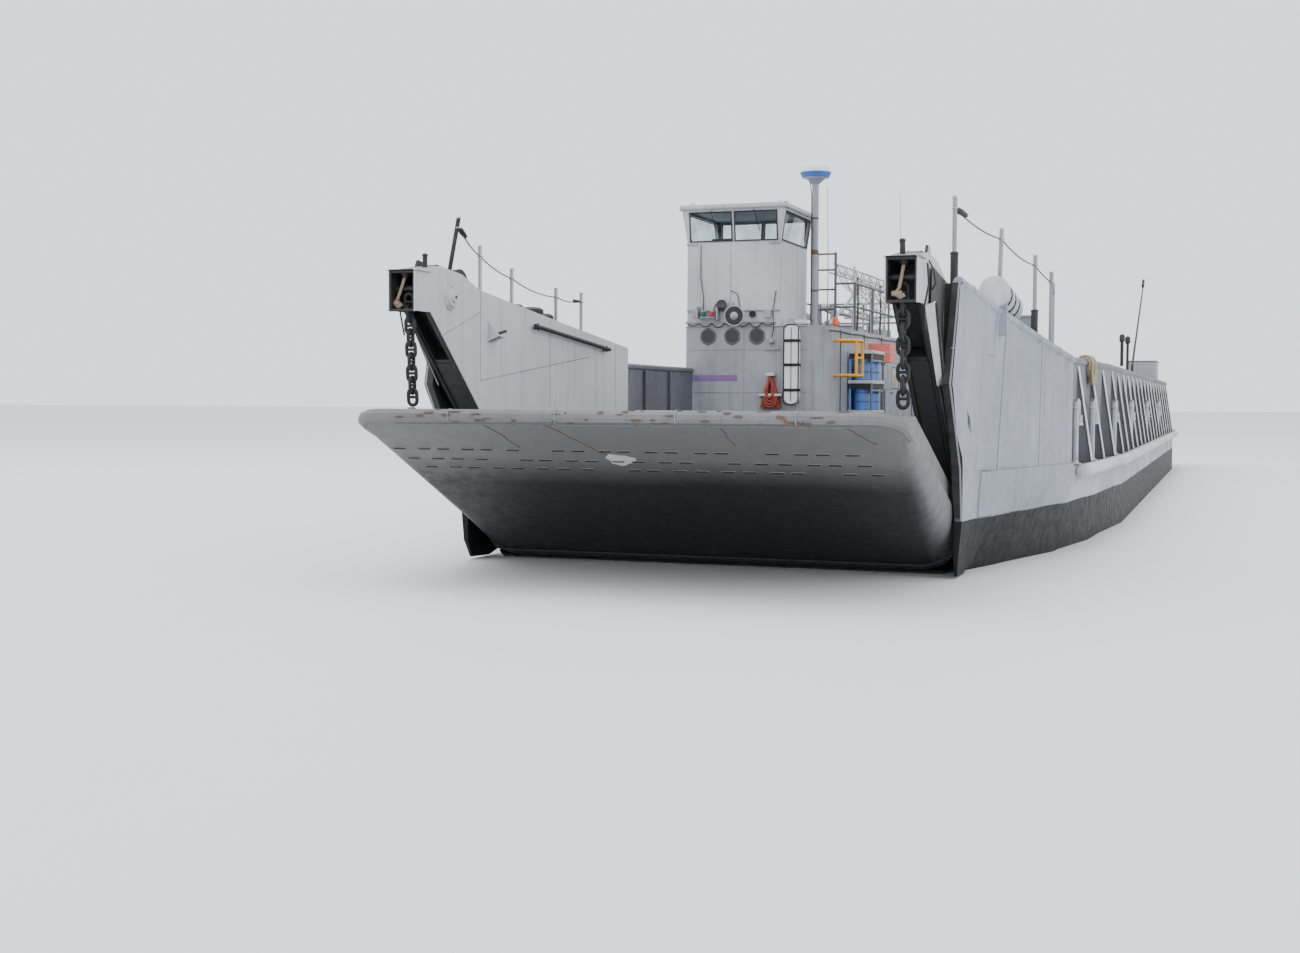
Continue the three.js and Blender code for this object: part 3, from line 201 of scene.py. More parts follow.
def deck_paint(g, colour, tone, rusty):
    """Worn deck paint on the faces that look up."""
    upward = g.step(g.axis(g.normal, 2), 0.75, 0.9)
    stain = g.step(g.noise(1.9, 8, 0.65), 0.4, 0.65)
    top = g.mix(stain, linear(*tone), shade(tone, 0.72))
    scuffed = g.step(g.noise(5, 9, 0.7, g.stretched(1, 0.2, 1)), 0.55, 0.7, 0, 0.5)
    top = g.mix(scuffed, top, shade(tone, 1.25))
    return g.mix(upward, colour, g.mix(rusty, top, RUST))


def inner_painted_light(g, colour, tone, blotches, streaks, rusty):
    """Painted light: a paler tone on the bow walls' inner faces, where light falls on them, with the
    blotches, streaks and rust of the rest.
    """
    across = g.calc("ABSOLUTE", g.axis(g.place, 0))
    lit = g.mix(blotches, shade(tone, 0.93), linear(*tone))
    lit = g.mix(streaks, lit, shade(tone, 0.62))
    lit = g.mix(rusty, lit, RUST)
    not_top = g.step(g.axis(g.normal, 2), 0.93, 0.88)
    return g.mix(g.times(g.step(across, 1.5575, 1.5565), not_top), colour, lit)


def boot_paint(g, colour, tone, line):
    """Black boot topping below the line, with slime and scrapes."""
    g.shader.inputs["Specular IOR Level"].default_value = 0.2
    sway = g.step(g.noise(2.2, 6, 0.6), 0, 1, -0.012, 0.012)
    height = g.calc("ADD", g.axis(g.place, 2), sway, clamp=True)
    smears = g.step(g.noise(3, 8, 0.7, g.stretched(3, 3, 0.6)), 0.35, 0.7)
    boot = g.mix(smears, linear(*tone), linear(30, 31, 34))
    slime = g.step(g.noise(7, 9, 0.7, g.stretched(2, 2, 0.4)), 0.55, 0.68, 0, 0.7)
    boot = g.mix(slime, boot, linear(40, 34, 30))
    scrape = g.step(g.noise(5, 6, 0.6, g.stretched(1, 1, 5)), 0.66, 0.74, 0, 0.6)
    boot = g.mix(scrape, boot, linear(70, 72, 76))
    return g.mix(g.step(height, line + 0.004, line - 0.004), colour, boot)


def ramp_painted_shade(g, colour, drips):
    """Painted shade on the ramp's outer face where it looks down: lighter by the lip, darker towards its
    heel, with stains and run-off rust.
    """
    sway = g.step(g.noise(1.6, 6, 0.6), 0, 1, -0.05, 0.05)
    height = g.calc("ADD", g.axis(g.place, 2), sway)
    heel = g.times(g.step(g.axis(g.normal, 1), -0.2, -0.5), g.step(height, 0.95, 0.85))
    under = g.larger(heel, g.step(g.axis(g.normal, 2), -0.55, -0.85))
    painted_shade = g.mix(g.step(height, 1.25, 1.08), linear(92, 93, 92), linear(7, 11, 18))
    painted_shade = g.mix(g.step(g.noise(9, 8, 0.7), 0.5, 0.75, 0, 0.22), painted_shade, linear(52, 50, 48))
    return g.mix(under, colour, g.mix(drips, painted_shade, RUST))


def paint(
    name, tone, rough=0.55, grime=0.5, rust=0.3, wear=0.5, fine=1.0,
    deck=None, inner=None, recess_shade=None, boot=None, ramp=False,
):
    """Weathered ship's paint: blotches, run-off streaks, rust, chipped edges, then by place deck paint,
    boot topping, and painted light and shade.
    """
    g = Graph(name, rough)
    base = linear(*tone)
    pale = tuple(min(1, c * 1.14) for c in base[:3]) + (1,)
    dark = tuple(c * 0.80 for c in base[:3]) + (1,)
    blotches = g.step(g.noise(0.9, 5, 0.6), 0.35, 0.65)
    mottle = g.noise(14 * fine, 7, 0.65)
    colour = g.mix(blotches, dark, pale)
    colour = g.mix(g.step(mottle, 0.35, 0.75, 0, 0.22), colour, shade(tone, 0.72))
    run = g.noise(2.4 * fine, 8, 0.62, g.stretched(6, 6, 0.35))
    colour = g.mix(g.step(run, 0.52, 0.78, 0, grime), colour, GRIME)
    spots = g.step(g.noise(11 * fine, 9, 0.7, distortion=0.3), 0.63, 0.69)
    patches = g.step(g.noise(1.3, 4, 0.6), 0.50, 0.62)
    rusty = g.times(g.times(spots, patches), rust)
    colour = g.mix(rusty, colour, RUST)
    drip = g.step(g.noise(3.1 * fine, 8, 0.6, g.stretched(9, 9, 0.22)), 0.64, 0.78)
    drips = g.times(g.times(drip, patches), rust * 0.8)
    colour = g.mix(drips, colour, RUST_PALE)
    soft = g.soft_edges(0.007)
    sharp = g.node("ShaderNodeNewGeometry").outputs["Normal"]
    alike = g.node("ShaderNodeVectorMath", {0: soft, 1: sharp}, operation="DOT_PRODUCT").outputs["Value"]
    chips = g.step(g.noise(24 * fine, 6, 0.7), 0.5, 0.62, 0, wear)
    chipped = g.times(g.step(alike, 0.985, 0.90), chips)
    colour = g.mix(chipped, colour, g.mix(g.noise(40), RUST, GRIME))
    if deck:
        colour = deck_paint(g, colour, deck, rusty)
    # Painted light: the bow walls' inner faces take the paler inner tone
    if inner:
        colour = inner_painted_light(g, colour, inner, blotches, g.step(run, 0.50, 0.78, 0, grime), rusty)
    if recess_shade:
        # Painted shade: black on the bow's recesses, forward edges and shell insides
        black = g.mix(g.step(mottle, 0.45, 0.7), linear(20, 21, 24), linear(52, 50, 50))
        colour = g.mix(bow_shade_mask(g, *recess_shade), colour, black)
    if boot:
        colour = boot_paint(g, colour, *boot)
    # Painted shade on the ramp's downward faces
    if ramp:
        colour = ramp_painted_shade(g, colour, drips)
    g.colour(colour)
    g.roughness(g.step(mottle, 0.3, 0.8, rough - 0.1, rough + 0.2))
    ripple = g.bump(g.noise(1.7, 3, 0.5), 0.012, 0.35, soft)
    g.bend(g.bump(mottle, 0.0012, 0.5, ripple))
    return g.material


def plain(name, tone, rough=0.5, metal=0.0, scale=20):
    """Small fittings: one tone with a fine mottle, dust and soft edges."""
    g = Graph(name, rough, metal)
    mottle = g.noise(scale, 7, 0.65)
    worn = g.noise(scale * 0.2, 5, 0.6)
    colour = g.mix(g.step(mottle, 0.3, 0.75, 0, 0.4), linear(*tone), shade(tone, 0.62))
    g.colour(g.mix(g.step(worn, 0.55, 0.75, 0, 0.25), colour, GRIME))
    g.roughness(g.step(mottle, 0.3, 0.8, max(0.02, rough - 0.1), min(1, rough + 0.2)))
    g.bend(g.bump(mottle, 0.0006, 0.6, g.soft_edges(0.003)))
    return g.material


def glass(name):
    """Clear, slightly smeared panes."""
    g = Graph(name, 0.04)
    g.shader.inputs["Transmission Weight"].default_value = 1.0
    g.shader.inputs["IOR"].default_value = 1.15
    smear = g.noise(4, 4, 0.5)
    g.colour(g.mix(g.step(smear, 0.4, 0.7), linear(226, 232, 234), linear(196, 206, 210)))
    g.roughness(g.step(smear, 0.4, 0.75, 0.02, 0.12))
    return g.material


# The drum rack: lowest tier's floor, tiers' pitch, drums' middles
RACK_FLOOR, TIER = 1.29, 0.62
DRUM_ROWS = (17.86, 18.225, 18.59)


def rack_blue(name):
    """Blue drums on dark shelves, told apart by height and by how far out they stand."""
    g = Graph(name, 0.45)
    height, across = g.axis(g.place, 2), g.axis(g.place, 0)
    shelf = g.step(across, -0.428, -0.424)
    for tier in range(4):
        floor_at = (RACK_FLOOR + TIER * tier + DRAUGHT) / 2
        band = g.step(height, floor_at - 0.026, floor_at - 0.024)
        band = g.times(band, g.step(height, floor_at + 0.002, floor_at))
        shelf = g.larger(shelf, band)
    mottle = g.noise(18, 6, 0.6)
    blue = g.mix(g.step(mottle, 0.35, 0.7, 0, 0.4), linear(86, 136, 206), linear(58, 100, 172))
    dust = g.step(g.noise(5, 7, 0.7, g.stretched(1, 1, 0.3)), 0.55, 0.72, 0, 0.5)
    blue = g.mix(dust, blue, linear(150, 160, 170))
    g.colour(g.mix(shelf, blue, g.mix(mottle, linear(120, 121, 124), linear(88, 86, 84))))
    g.roughness(g.step(mottle, 0.3, 0.8, 0.35, 0.6))
    g.bend(g.bump(mottle, 0.0008, 0.5))
    return g.material


def rope_fibre(name, tone, twist=60):
    """Laid strands with dirt between them."""
    g = Graph(name, 0.9)
    g.shader.inputs["Sheen Weight"].default_value = 0.2
    inputs = {"Vector": g.place, "Scale": twist, "Distortion": 2.5, "Detail": 3}
    strands = g.node("ShaderNodeTexWave", inputs, bands_direction="DIAGONAL").outputs["Fac"]
    dirt = g.step(g.noise(12, 7, 0.7), 0.5, 0.75, 0, 0.5)
    colour = g.mix(strands, shade(tone, 0.6), linear(*tone))
    g.colour(g.mix(dirt, colour, shade(tone, 0.5)))
    g.bend(g.bump(strands, 0.004, 0.8))
    return g.material


MATERIALS = {
    "hull": paint(
        "haze_hull", (168, 172, 178), grime=0.45, rust=0.35, deck=(92, 95, 99), boot=((13, 15, 20), 0.868),
        # Black in the bow's recesses and on its forward edges, painted shade
        recess_shade=(-8.33, 0.875),
    ),
    "ramp": paint(
        # The ramp's dark downward faces are painted shade
        "haze_ramp", (108, 109, 112), grime=0.6, rust=1.0, wear=0.9, deck=(104, 106, 109), ramp=True
    ),
    "bulwark": paint(
        # The bulwark's paler inner tone is painted light on the bow walls' inner faces
        "haze_bulwark", (142, 148, 160), grime=0.4, rust=0.3, deck=(120, 123, 128), inner=(192, 192, 197),
        # Black in the bow's recesses and on its forward edges, painted shade
        recess_shade=(-8.985, 2.25),
    ),
    # A darker copy of the haze grey: painted shade on the side bulwarks and their stays; small fittings use
    # it too
    "side": paint("haze_side_shade", (96, 99, 107), grime=0.5, rust=0.3),
    "house": paint("haze_house", (150, 153, 162), grime=0.45, rust=0.3, deck=(108, 111, 115)),
    "bridge": paint("haze_bridge", (184, 185, 191), grime=0.3, rust=0.2, deck=(168, 170, 174)),
    "light": paint("haze_light", (188, 191, 196), grime=0.35, rust=0.35, fine=1.6),
    "below": paint("underwater", (58, 52, 50), rough=0.8, grime=0.6, rust=0.7),
    "gate": paint("haze_gate", (150, 154, 160), grime=0.5, rust=0.4),
    "bronze": plain("bronze", (150, 118, 66), 0.4, 0.9),
    "glass": glass("glass"),
    "white": paint("white_paint", (226, 228, 228), 0.45, grime=0.2, rust=0.1, fine=2),
    "black": plain("black_paint", (34, 34, 36), 0.6),
    # Painted shade: the black on the ramp seats, with some rust
    "seat_shade": paint("black_seat_shade", (38, 38, 40), 0.7, grime=0.2, rust=0.6, fine=1.5),
    "steel": plain("dull_steel", (104, 104, 106), 0.5, 0.7),
    "chain": paint("chain_black", (32, 31, 31), 0.7, grime=0.2, rust=0.8, fine=3),
    "yellow": plain("yellow_paint", (236, 166, 12), 0.5),
    "blue": plain("blue_plastic", (64, 116, 188), 0.45),
    "salmon": plain("salmon_paint", (236, 122, 112), 0.6),
    "rubber": plain("fender_rubber", (30, 30, 31), 0.85, scale=30),
    "tan_rope": rope_fibre("tan_rope", (206, 184, 140)),
    "purple": plain("purple_paint", (128, 96, 150), 0.6),
    "dark_glass": plain("dark_glass", (30, 33, 36), 0.12, scale=8),
    "hose": rope_fibre("hose_red", (196, 70, 44), 90),
    "orange": plain("orange_plastic", (226, 92, 34), 0.5),
    "green": plain("green_lens", (20, 90, 66), 0.3),
    "red_lens": plain("red_lens", (170, 26, 22), 0.3),
    "weld": paint("weld_bead", (150, 154, 162), grime=0.3, rust=0.3, wear=0.2),
    "interior": plain("interior_grey", (92, 98, 100), 0.6),
    # Painted shade: near-black plates put in openings, for the drain slots and vent mouths
    "hole": plain("hole_painted_shade", (16, 15, 15), 0.9),
    "rusty": paint("rusted_steel", (96, 78, 66), 0.8, grime=0.3, rust=1.0, fine=3),
    "filler": paint("scuffed_filler", (178, 178, 180), 0.85, grime=0.3, rust=0.2, fine=2),
    "webbing": plain("black_webbing", (26, 26, 28), 0.85, scale=60),
    "grimy": paint("grimy_sleeve", (120, 120, 122), 0.7, grime=0.9, rust=0.8, fine=3),
    "tan": plain("tan_plastic", (196, 160, 116), 0.6),
    "pale_rust": paint("pale_rust", (150, 132, 112), 0.75, grime=0.5, rust=0.9, fine=4),
    "drums": rack_blue("rack_blue"),
    "deck_weld": plain("deck_weld", (78, 80, 84), 0.7),
}


def dress(material, names):
    """Gives carried-over CAD nodes a material, and smooth faces split at sharp edges."""
    for name in names:
        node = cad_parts[name]
        mesh = node.data
        mesh.materials.clear()
        mesh.materials.append(MATERIALS[material])
        if "custom_normal" in mesh.attributes:
            mesh.attributes.remove(mesh.attributes["custom_normal"])
        mesh.polygons.foreach_set("use_smooth", [True] * len(mesh.polygons))
        mesh.polygons.foreach_set("material_index", [0] * len(mesh.polygons))
        weld = node.modifiers.new("weld", "WELD")
        weld.merge_threshold = 0.00002
        split = node.modifiers.new("split", "EDGE_SPLIT")
        split.split_angle = radians(33)


SIDES = (("port", 1), ("starboard", -1))


def both(stem):
    return [stem + "_" + side for side, _ in SIDES]


# Columns: material, names of the nodes that it goes on
for material, *names in (
    ("hull", "hull"), ("ramp", "bow_ramp"), ("bulwark", *both("bow_bulwark")),
    # The side bulwarks take the darker side grey, painted shade
    ("side", "side_bulwark_port", "side_bulwark_starboard_forward", "side_bulwark_starboard_aft"),
    ("house", "deckhouse", "deckhouse_door", "mast_foot"),
    ("bridge", "pilothouse", "pilothouse_roof", "pilothouse_door"),
    ("house", "mast_crutch", "signal_lamps", "stern_locker", *both("hatch_lid")),
    ("light", *both("guard_pipe"), "mast", "locker_grey"), ("side", "roof_rail", "loud_hailer"),
    ("below", *both("nozzle"), *both("rudder")), ("gate", "stern_gate"), ("bronze", *both("screw")),
    ("glass", "pilothouse_windows"), ("white", "satellite_dome", "rescue_litter"),
    ("black", "house_ladder"), ("rusty", "stern_anchor"), ("steel", "stern_winch"),
    ("yellow", "yellow_frame"), ("drums", "drum_rack"), ("hose", "hose_rack"), ("salmon", "locker_red"),
    ("rubber", "fender_starboard"),
):
    dress(material, names)


UP = (0, 0, 1)
PORT = (1, 0, 0)
FORE = (0, -1, 0)


def turns(n):
    return [2 * pi * i / n for i in range(n)]


def hoop(inner, outer, half, edge):
    """Profile of a band: the inner radius at both ends, the outer one between its edges."""
    return [(inner, -half), (outer, -edge), (outer, edge), (inner, half)]


def mirrored(sx, points):
    """Points of the port side, or their mirror image to starboard."""
    return [(sx * x, y, z) for x, y, z in points]


def span(sx, x0, x1):
    return sorted((sx * x0, sx * x1))


class Sketch:
    """Faces of one detail piece, in full-size metres."""

    def __init__(self):
        self.verts = []
        self.faces = []

    def loft(self, rings, closed=False):
        """A skin over rings of equal count, capped at its ends or closed on itself."""
        start, n = len(self.verts), len(rings[0])
        for ring in rings:
            self.verts += [tuple(p) for p in ring]
        count = len(rings)
        for k in range(count if closed else count - 1):
            a, b = start + k * n, start + (k + 1) % count * n
            self.faces += [(a + i, a + (i + 1) % n, b + (i + 1) % n, b + i) for i in range(n)]
        if not closed:
            self.faces.append(tuple(reversed(range(start, start + n))))
            self.faces.append(tuple(range(start + (count - 1) * n, start + count * n)))
        return self

    def box(self, x0, x1, y0, y1, z0, z1):
        return self.loft([[(x0, y0, z), (x1, y0, z), (x1, y1, z), (x0, y1, z)] for z in (z0, z1)])

    def slab(self, points, offset):
        """A flat outline given in space, thickened by offset."""
        return self.loft([points, [tuple(Vector(p) + Vector(offset)) for p in points]])

    def tube(self, points, r, n=10, closed=False, r_end=None):
        """A round bar of radius r along the points, which may taper to r_end."""
        pts = [Vector(p) for p in points]
        count = len(pts)
        rings = []
        side = None
        for k, p in enumerate(pts):
            before = pts[(k - 1) % count] if (closed or k) else p
            after = pts[(k + 1) % count] if (closed or k + 1 < count) else p
            run = (after - before).normalized()
            if side is None:
                side = run.orthogonal().normalized()
            side = (side - run * side.dot(run)).normalized()
            other = run.cross(side)
            radius = r if r_end is None else r + (r_end - r) * k / (count - 1)
            rings.append([p + side * radius * cos(a) + other * radius * sin(a) for a in turns(n)])
        return self.loft(rings, closed=closed)

    def lathe(self, centre, axis, profile, n=24):
        """Profile rows of (radius, distance along axis); both ends are closed."""
        run = Vector(axis).normalized()
        side = run.orthogonal().normalized()
        other = run.cross(side)
        rings = []
        for r, h in profile:
            r = max(r, 0.0005)
            middle = Vector(centre) + run * h
            rings.append([middle + side * r * cos(a) + other * r * sin(a) for a in turns(n)])
        return self.loft(rings)

    def piece(self, name, material, body="craft", slot="haze_paint", crisp=35, bevel=0.0):
        """Makes the piece, and the body that it rides on; its slot is not used."""
        mesh = bpy.data.meshes.new(name)
        mesh.from_pydata([at(*p) for p in self.verts], [], self.faces)
        mesh.materials.append(MATERIALS[material])
        mesh.polygons.foreach_set("use_smooth", [True] * len(mesh.polygons))
        mesh.set_sharp_from_angle(angle=radians(crisp))
        made = bpy.data.objects.new(name, mesh)
        bpy.context.scene.collection.objects.link(made)
        if bevel:
            rounding = made.modifiers.new("bevel", "BEVEL")
            rounding.width = bevel / 2
            rounding.segments = 2
            rounding.limit_method = "ANGLE"
        if body:
            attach(made, body)
        return made


def arc_points(centre, radius, start, end, n, plane="xz"):
    """Points along an arc between two angles in degrees."""
    x, y, z = centre
    out = []
    for i in range(n + 1):
        a = radians(start + (end - start) * i / n)
        c, s = radius * cos(a), radius * sin(a)
        planes = {"xz": (x + c, y, z + s), "yz": (x, y + c, z + s), "xy": (x + c, y + s, z)}
        out.append(planes[plane])
    return out


def ring_points(centre, radius, n, plane="xz"):
    return arc_points(centre, radius, 0, 360, n, plane)[:-1]


# The deckhouse's forward and after faces, its port wall and its roof
HOUSE_FRONT, HOUSE_AFTER, WALL, ROOF = 15.95, 25.9, -1.33, 3.60
# The part's own lines, repeated here. Columns: y, half beam at the deck
DECK_HALF = (
    (4.3, 3.27), (4.99, 3.44), (6.4, 3.79), (8.0, 4.14), (10.2, 4.26), (14, 4.42), (38.6, 4.42),
    (41.3, 4.25),
)
# Columns: y, deck height
DECK_LINE = ((4.99, 0.69), (6.4, 0.9), (8.0, 1.2))
# Columns: y, half beam at the bilge, bottom. The knuckle lies BILGE above the bottom
BILGE_LINE = (
    (4.3, 3.13, -0.01), (4.99, 3.22, -0.12), (6.4, 3.48, -0.35), (8.0, 3.83, -0.64), (10.2, 4.12, -1.05)
)
BILGE = 0.38
# Columns: y, the shell's outer face at its sill, at its top. Aft of SHELL_END the side rises to the wing
SHELL_END = 5.07
SHELL = (
    (2.5, 3.262, 3.265), (3.3, 3.262, 3.31), (3.85, 3.264, 3.40), (4.48, 3.32, 3.50), (5.1, 3.47, 3.60)
)
# Columns: y, the wing's half beam, its top at the wall, at the shell
WING = (
    (3.3, 3.30, 3.52, 3.44), (4.98, 3.57, 3.31, 3.15), (6.51, 3.84, 3.14, 2.90), (7.98, 4.12, 2.99, 2.67)
)
# Heights of the deck, the shells' sills and their rise, the rail; the rail's middle in from the deck edge
DECK, SILL, RISE, RAIL_TOP, RAIL_IN = 1.2, 0.69, 2.76, 2.71, 0.26


def along(rows, y, column=1):
    """A column of rows sorted by y, read between them."""
    if y <= rows[0][0]:
        return rows[0][column]
    for a, b in zip(rows, rows[1:]):
        if y <= b[0]:
            return a[column] + (b[column] - a[column]) * (y - a[0]) / (b[0] - a[0])
    return rows[-1][column]


def shell_x(y, z):
    """Outer face of the bow shell, as a half beam."""
    if y < SHELL_END:
        low, high = along(SHELL, y, 1), along(SHELL, y, 2)
        return low + (high - low) * (z - SILL) / RISE
    base, top = along(DECK_LINE, y), along(WING, y, 3)
    low, high = along(DECK_HALF, y) - 0.004, along(WING, y, 1)
    return low + (high - low) * (z - base) / (top - base)


def between(a, b, n):
    """Points that part the line from a to b into n equal steps."""
    return [Vector(a).lerp(Vector(b), i / n) for i in range(n + 1)]


# The rope's thickness, and its hank over the port rail: reach along the rail, feet of the legs outboard
# and inboard, radius over the rail, pitch of the turns
ROPE = 0.034
HANK = {
    "y": (10.78, 11.33), "outboard": 2.335, "inboard": 2.395, "inner": 0.0615, "pitch": 0.0365, "laps": 4
}


def rope_hank():
    """The rope's middle line: turns that shrink towards the middle, then grow in a second layer."""
    y0, y1 = HANK["y"]
    pitch, laps = HANK["pitch"], HANK["laps"]
    path = []
    widest = y1 - y0 - ROPE - 0.01
    middle = (y0 + y1) / 2
    steps = 56

    def spot(layer, s, y):
        radius = HANK["inner"] + ROPE / 2 + layer * pitch
        out_leg = RAIL_TOP - HANK["outboard"] - ROPE / 2
        bend = pi * radius
        x_rail = along(DECK_HALF, y) - RAIL_IN
        if s < out_leg:
            return (x_rail + radius, y, RAIL_TOP - out_leg + s)
        if s < out_leg + bend:
            a = (s - out_leg) / radius
            return (x_rail + radius * cos(a), y, RAIL_TOP + radius * sin(a))
        return (x_rail - radius, y, RAIL_TOP - (s - out_leg - bend))

    for layer in (0, 1):
        radius = HANK["inner"] + ROPE / 2 + layer * pitch
        total = 2 * RAIL_TOP - HANK["outboard"] - HANK["inboard"] - ROPE + pi * radius
        for i in range(laps * steps + (1 if layer else 0)):
            t = i / steps
            grown = t if layer == 0 else laps - t
            inset = pitch * grown
            half = widest / 2 - inset
            # A stadium walked at an even pace: straight, end, straight, end
            run = total - 2 * half - 2 * inset
            lap = 2 * run + 2 * pi * half
            d = (t % 1.0) * lap
            if d < run:
                s, y = inset + half + d, middle - half
            elif d < run + pi * half:
                a = (d - run) / half
                s, y = inset + half + run + half * sin(a), middle - half * cos(a)
            elif d < 2 * run + pi * half:
                s, y = inset + half + run - (d - run - pi * half), middle + half
            else:
                a = (d - 2 * run - pi * half) / half
                s, y = inset + half - half * sin(a), middle + half * cos(a)
            path.append(at(*spot(layer, s, y)))
    return path


hank_path = rope_hank()
rope_curve = bpy.data.curves.new("rope_hank", "CURVE")
rope_curve.dimensions = "3D"
rope_curve.bevel_depth = ROPE / 4
rope_curve.bevel_resolution = 3
rope_curve.use_fill_caps = True
spline = rope_curve.splines.new("POLY")
spline.points.add(len(hank_path) - 1)
for point, p in zip(spline.points, hank_path):
    point.co = (*p, 1)
rope_curve.materials.append(MATERIALS["tan_rope"])
hank = bpy.data.objects.new("rope_hank", rope_curve)
bpy.context.scene.collection.objects.link(hank)
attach(hank, "craft")
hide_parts("rope_coil")


# Bow ramp frame: u from the hinge pin to the lip, v off the driven face, REST its slope as built
HINGE_Y, HINGE_Z, REST = 4.42, 0.61, radians(20.2)
# The outer face's line from the heel, and the pipe along the lip
HEEL_U, HEEL_V, TAPER = 0.075, -0.545, 0.5 / 3.685
LIP_U, LIP_V, LIP_R = 3.76, 0.005, 0.0788


def ramp_at(x, u, v):
    c, s = cos(REST), sin(REST)
    return (x, HINGE_Y - u * c + v * s, HINGE_Z + u * s + v * c)


def outer_face(u):
    """How far the outer face lies off the driven one at u."""
    return HEEL_V + (u - HEEL_U) * TAPER


def ramp_normal(length):
    return Vector(ramp_at(0, 0, length)) - Vector(ramp_at(0, 0, 0))


def lip_point(x, a, radius=LIP_R):
    """A point on the lip pipe, at angle a round it."""
    return ramp_at(x, LIP_U + radius * cos(a), LIP_V + radius * sin(a))


def ramp_plate(sketch, x0, x1, u0, u1, v, thick):
    outline = [ramp_at(x0, u0, v), ramp_at(x1, u0, v), ramp_at(x1, u1, v), ramp_at(x0, u1, v)]
    sketch.slab(outline, ramp_normal(thick))


def dress_ramp():
    """Drain slots, treads, run-off, lip and a scuffed patch on the bow ramp."""
    slots, rims = Sketch(), Sketch()
    # Rows of drain slots, staggered in pairs. Columns: u, first x
    for u, first in ((3.04, -2.86), (2.79, -2.78), (2.57, -2.66)):
        for k in range(20):
            x = first + 0.28 * k + (0.02 if k % 2 else -0.02) + rng.uniform(-0.012, 0.012)
            missing = (k + int(u * 100)) % 9 == 4
            if x > 2.86 or missing:
                continue
            v = outer_face(u) + 0.01
            ramp_plate(rims, x - 0.084, x + 0.084, u - 0.032, u + 0.026, v, -0.013)
            ramp_plate(slots, x - 0.078, x + 0.078, u - 0.022, u + 0.022, v, -0.018)
    # The slots are dark plates, painted shade for the openings
    slots.piece("ramp_slots", "hole", "bow_ramp", bevel=0.012)
    rims.piece("ramp_slot_rims", "grimy", "bow_ramp", bevel=0.006)
    treads = Sketch()
    for k in range(15):
        u = 0.45 + 0.2 * k
        ramp_plate(treads, -2.72, 2.72, u, u + 0.05, 0.078, 0.024)
    treads.piece("ramp_treads", "ramp", "bow_ramp", bevel=0.008)
    cracks = Sketch()
    # Run-off lines under the lip. Columns: x and u at the top, x and u at the foot
    for x0, u0, x1, u1 in (
        (-1.52, 3.66, -1.30, 3.10), (-0.78, 3.66, -0.30, 2.92), (2.55, 3.66, 2.78, 3.30),
        (1.2, 3.67, 1.24, 3.2),
    ):
        line = []
        for i in range(7):
            t = i / 6
            u = u0 + (u1 - u0) * t
            line.append(ramp_at(x0 + (x1 - x0) * t + rng.uniform(-0.02, 0.02), u, outer_face(u) - 0.001))
        cracks.tube(line, 0.006, 6)
    cracks.piece("ramp_run_off", "rusty", "bow_ramp")
    dress_lip()
    outline = []
    for a in turns(18):
        r = 1 + 0.16 * sin(3 * a + 1) + 0.07 * sin(7 * a)
        u = 2.84 + 0.13 * r * sin(a)
        outline.append(ramp_at(-0.19 + 0.17 * r * cos(a), u, outer_face(u) + 0.004))
    scuff = Sketch().slab(outline, ramp_normal(-0.010))
    scuff.piece("ramp_scuff", "filler", "bow_ramp", crisp=80, bevel=0.01)


def dress_lip():
    """Chips and weld rings on the lip pipe, and a dark line of painted shadow under it on the ramp's outer
    face.
    """
    chips, joint, welds = Sketch(), Sketch(), Sketch()
    for _ in range(46):
        x, middle = rng.uniform(-2.55, 2.55), radians(rng.uniform(-85, 60))
        half_length, half_width = rng.uniform(0.015, 0.075), rng.uniform(0.006, 0.020)
        outline = []
        for t in turns(10):
            a = middle + half_width / LIP_R * sin(t) * rng.uniform(0.6, 1.3)
            reach = half_length * cos(t) * rng.uniform(0.7, 1.2)
            outline.append(lip_point(x + reach, a))
        inward = (Vector(ramp_at(x, LIP_U, LIP_V)) - Vector(lip_point(x, middle))).normalized()
        chips.slab(outline, inward * 0.006)
    # A dark line of painted shadow under the lip pipe
    for x0, x1 in ((-2.6, -1.7), (-1.66, -0.7), (-0.65, 0.4), (0.44, 1.5), (1.53, 2.6)):
        line = []
        for i in range(9):
            u = 3.677 + rng.uniform(-0.004, 0.004)
            line.append(ramp_at(x0 + (x1 - x0) * i / 8, u, outer_face(u) - 0.002))
        joint.tube(line, 0.009, 6)
    for x in (-1.9, -0.62, 0.75, 2.05):
        welds.tube([lip_point(x, radians(-80 + 16 * i), 0.078) for i in range(12)], 0.006, 6)
    chips.piece("lip_chips", "rusty", "bow_ramp")
    joint.piece("lip_shadow_line", "grimy", "bow_ramp")
    welds.piece("ramp_welds", "weld", "bow_ramp")


def dress_ramp_seats():
    """Black bearers down the bow walls' front edges, and the plate between them below the chain's slot;
    their black is painted shade.
    """
    top, foot, slot_foot = (2.05, 3.15), (4.74, 0.755), (2.74, 2.545)
    run = Vector((0, foot[0] - top[0], foot[1] - top[1])).normalized()
    across = Vector((0, run.z, -run.y))
    for side, sx in SIDES:
        seat = Sketch()
        # Columns: inner and outer x, upper end, thickness
        for x0, x1, head, thick in (
            (2.775, 2.822, top, 0.026), (3.058, 3.105, top, 0.026), (2.83, 3.05, slot_foot, 0.012)
        ):
            seat.slab(mirrored(sx, [(x0, *head), (x1, *head), (x1, *foot), (x0, *foot)]), across * thick)
        seat.piece("ramp_seat_" + side, "seat_shade", slot="black_paint", bevel=0.006)


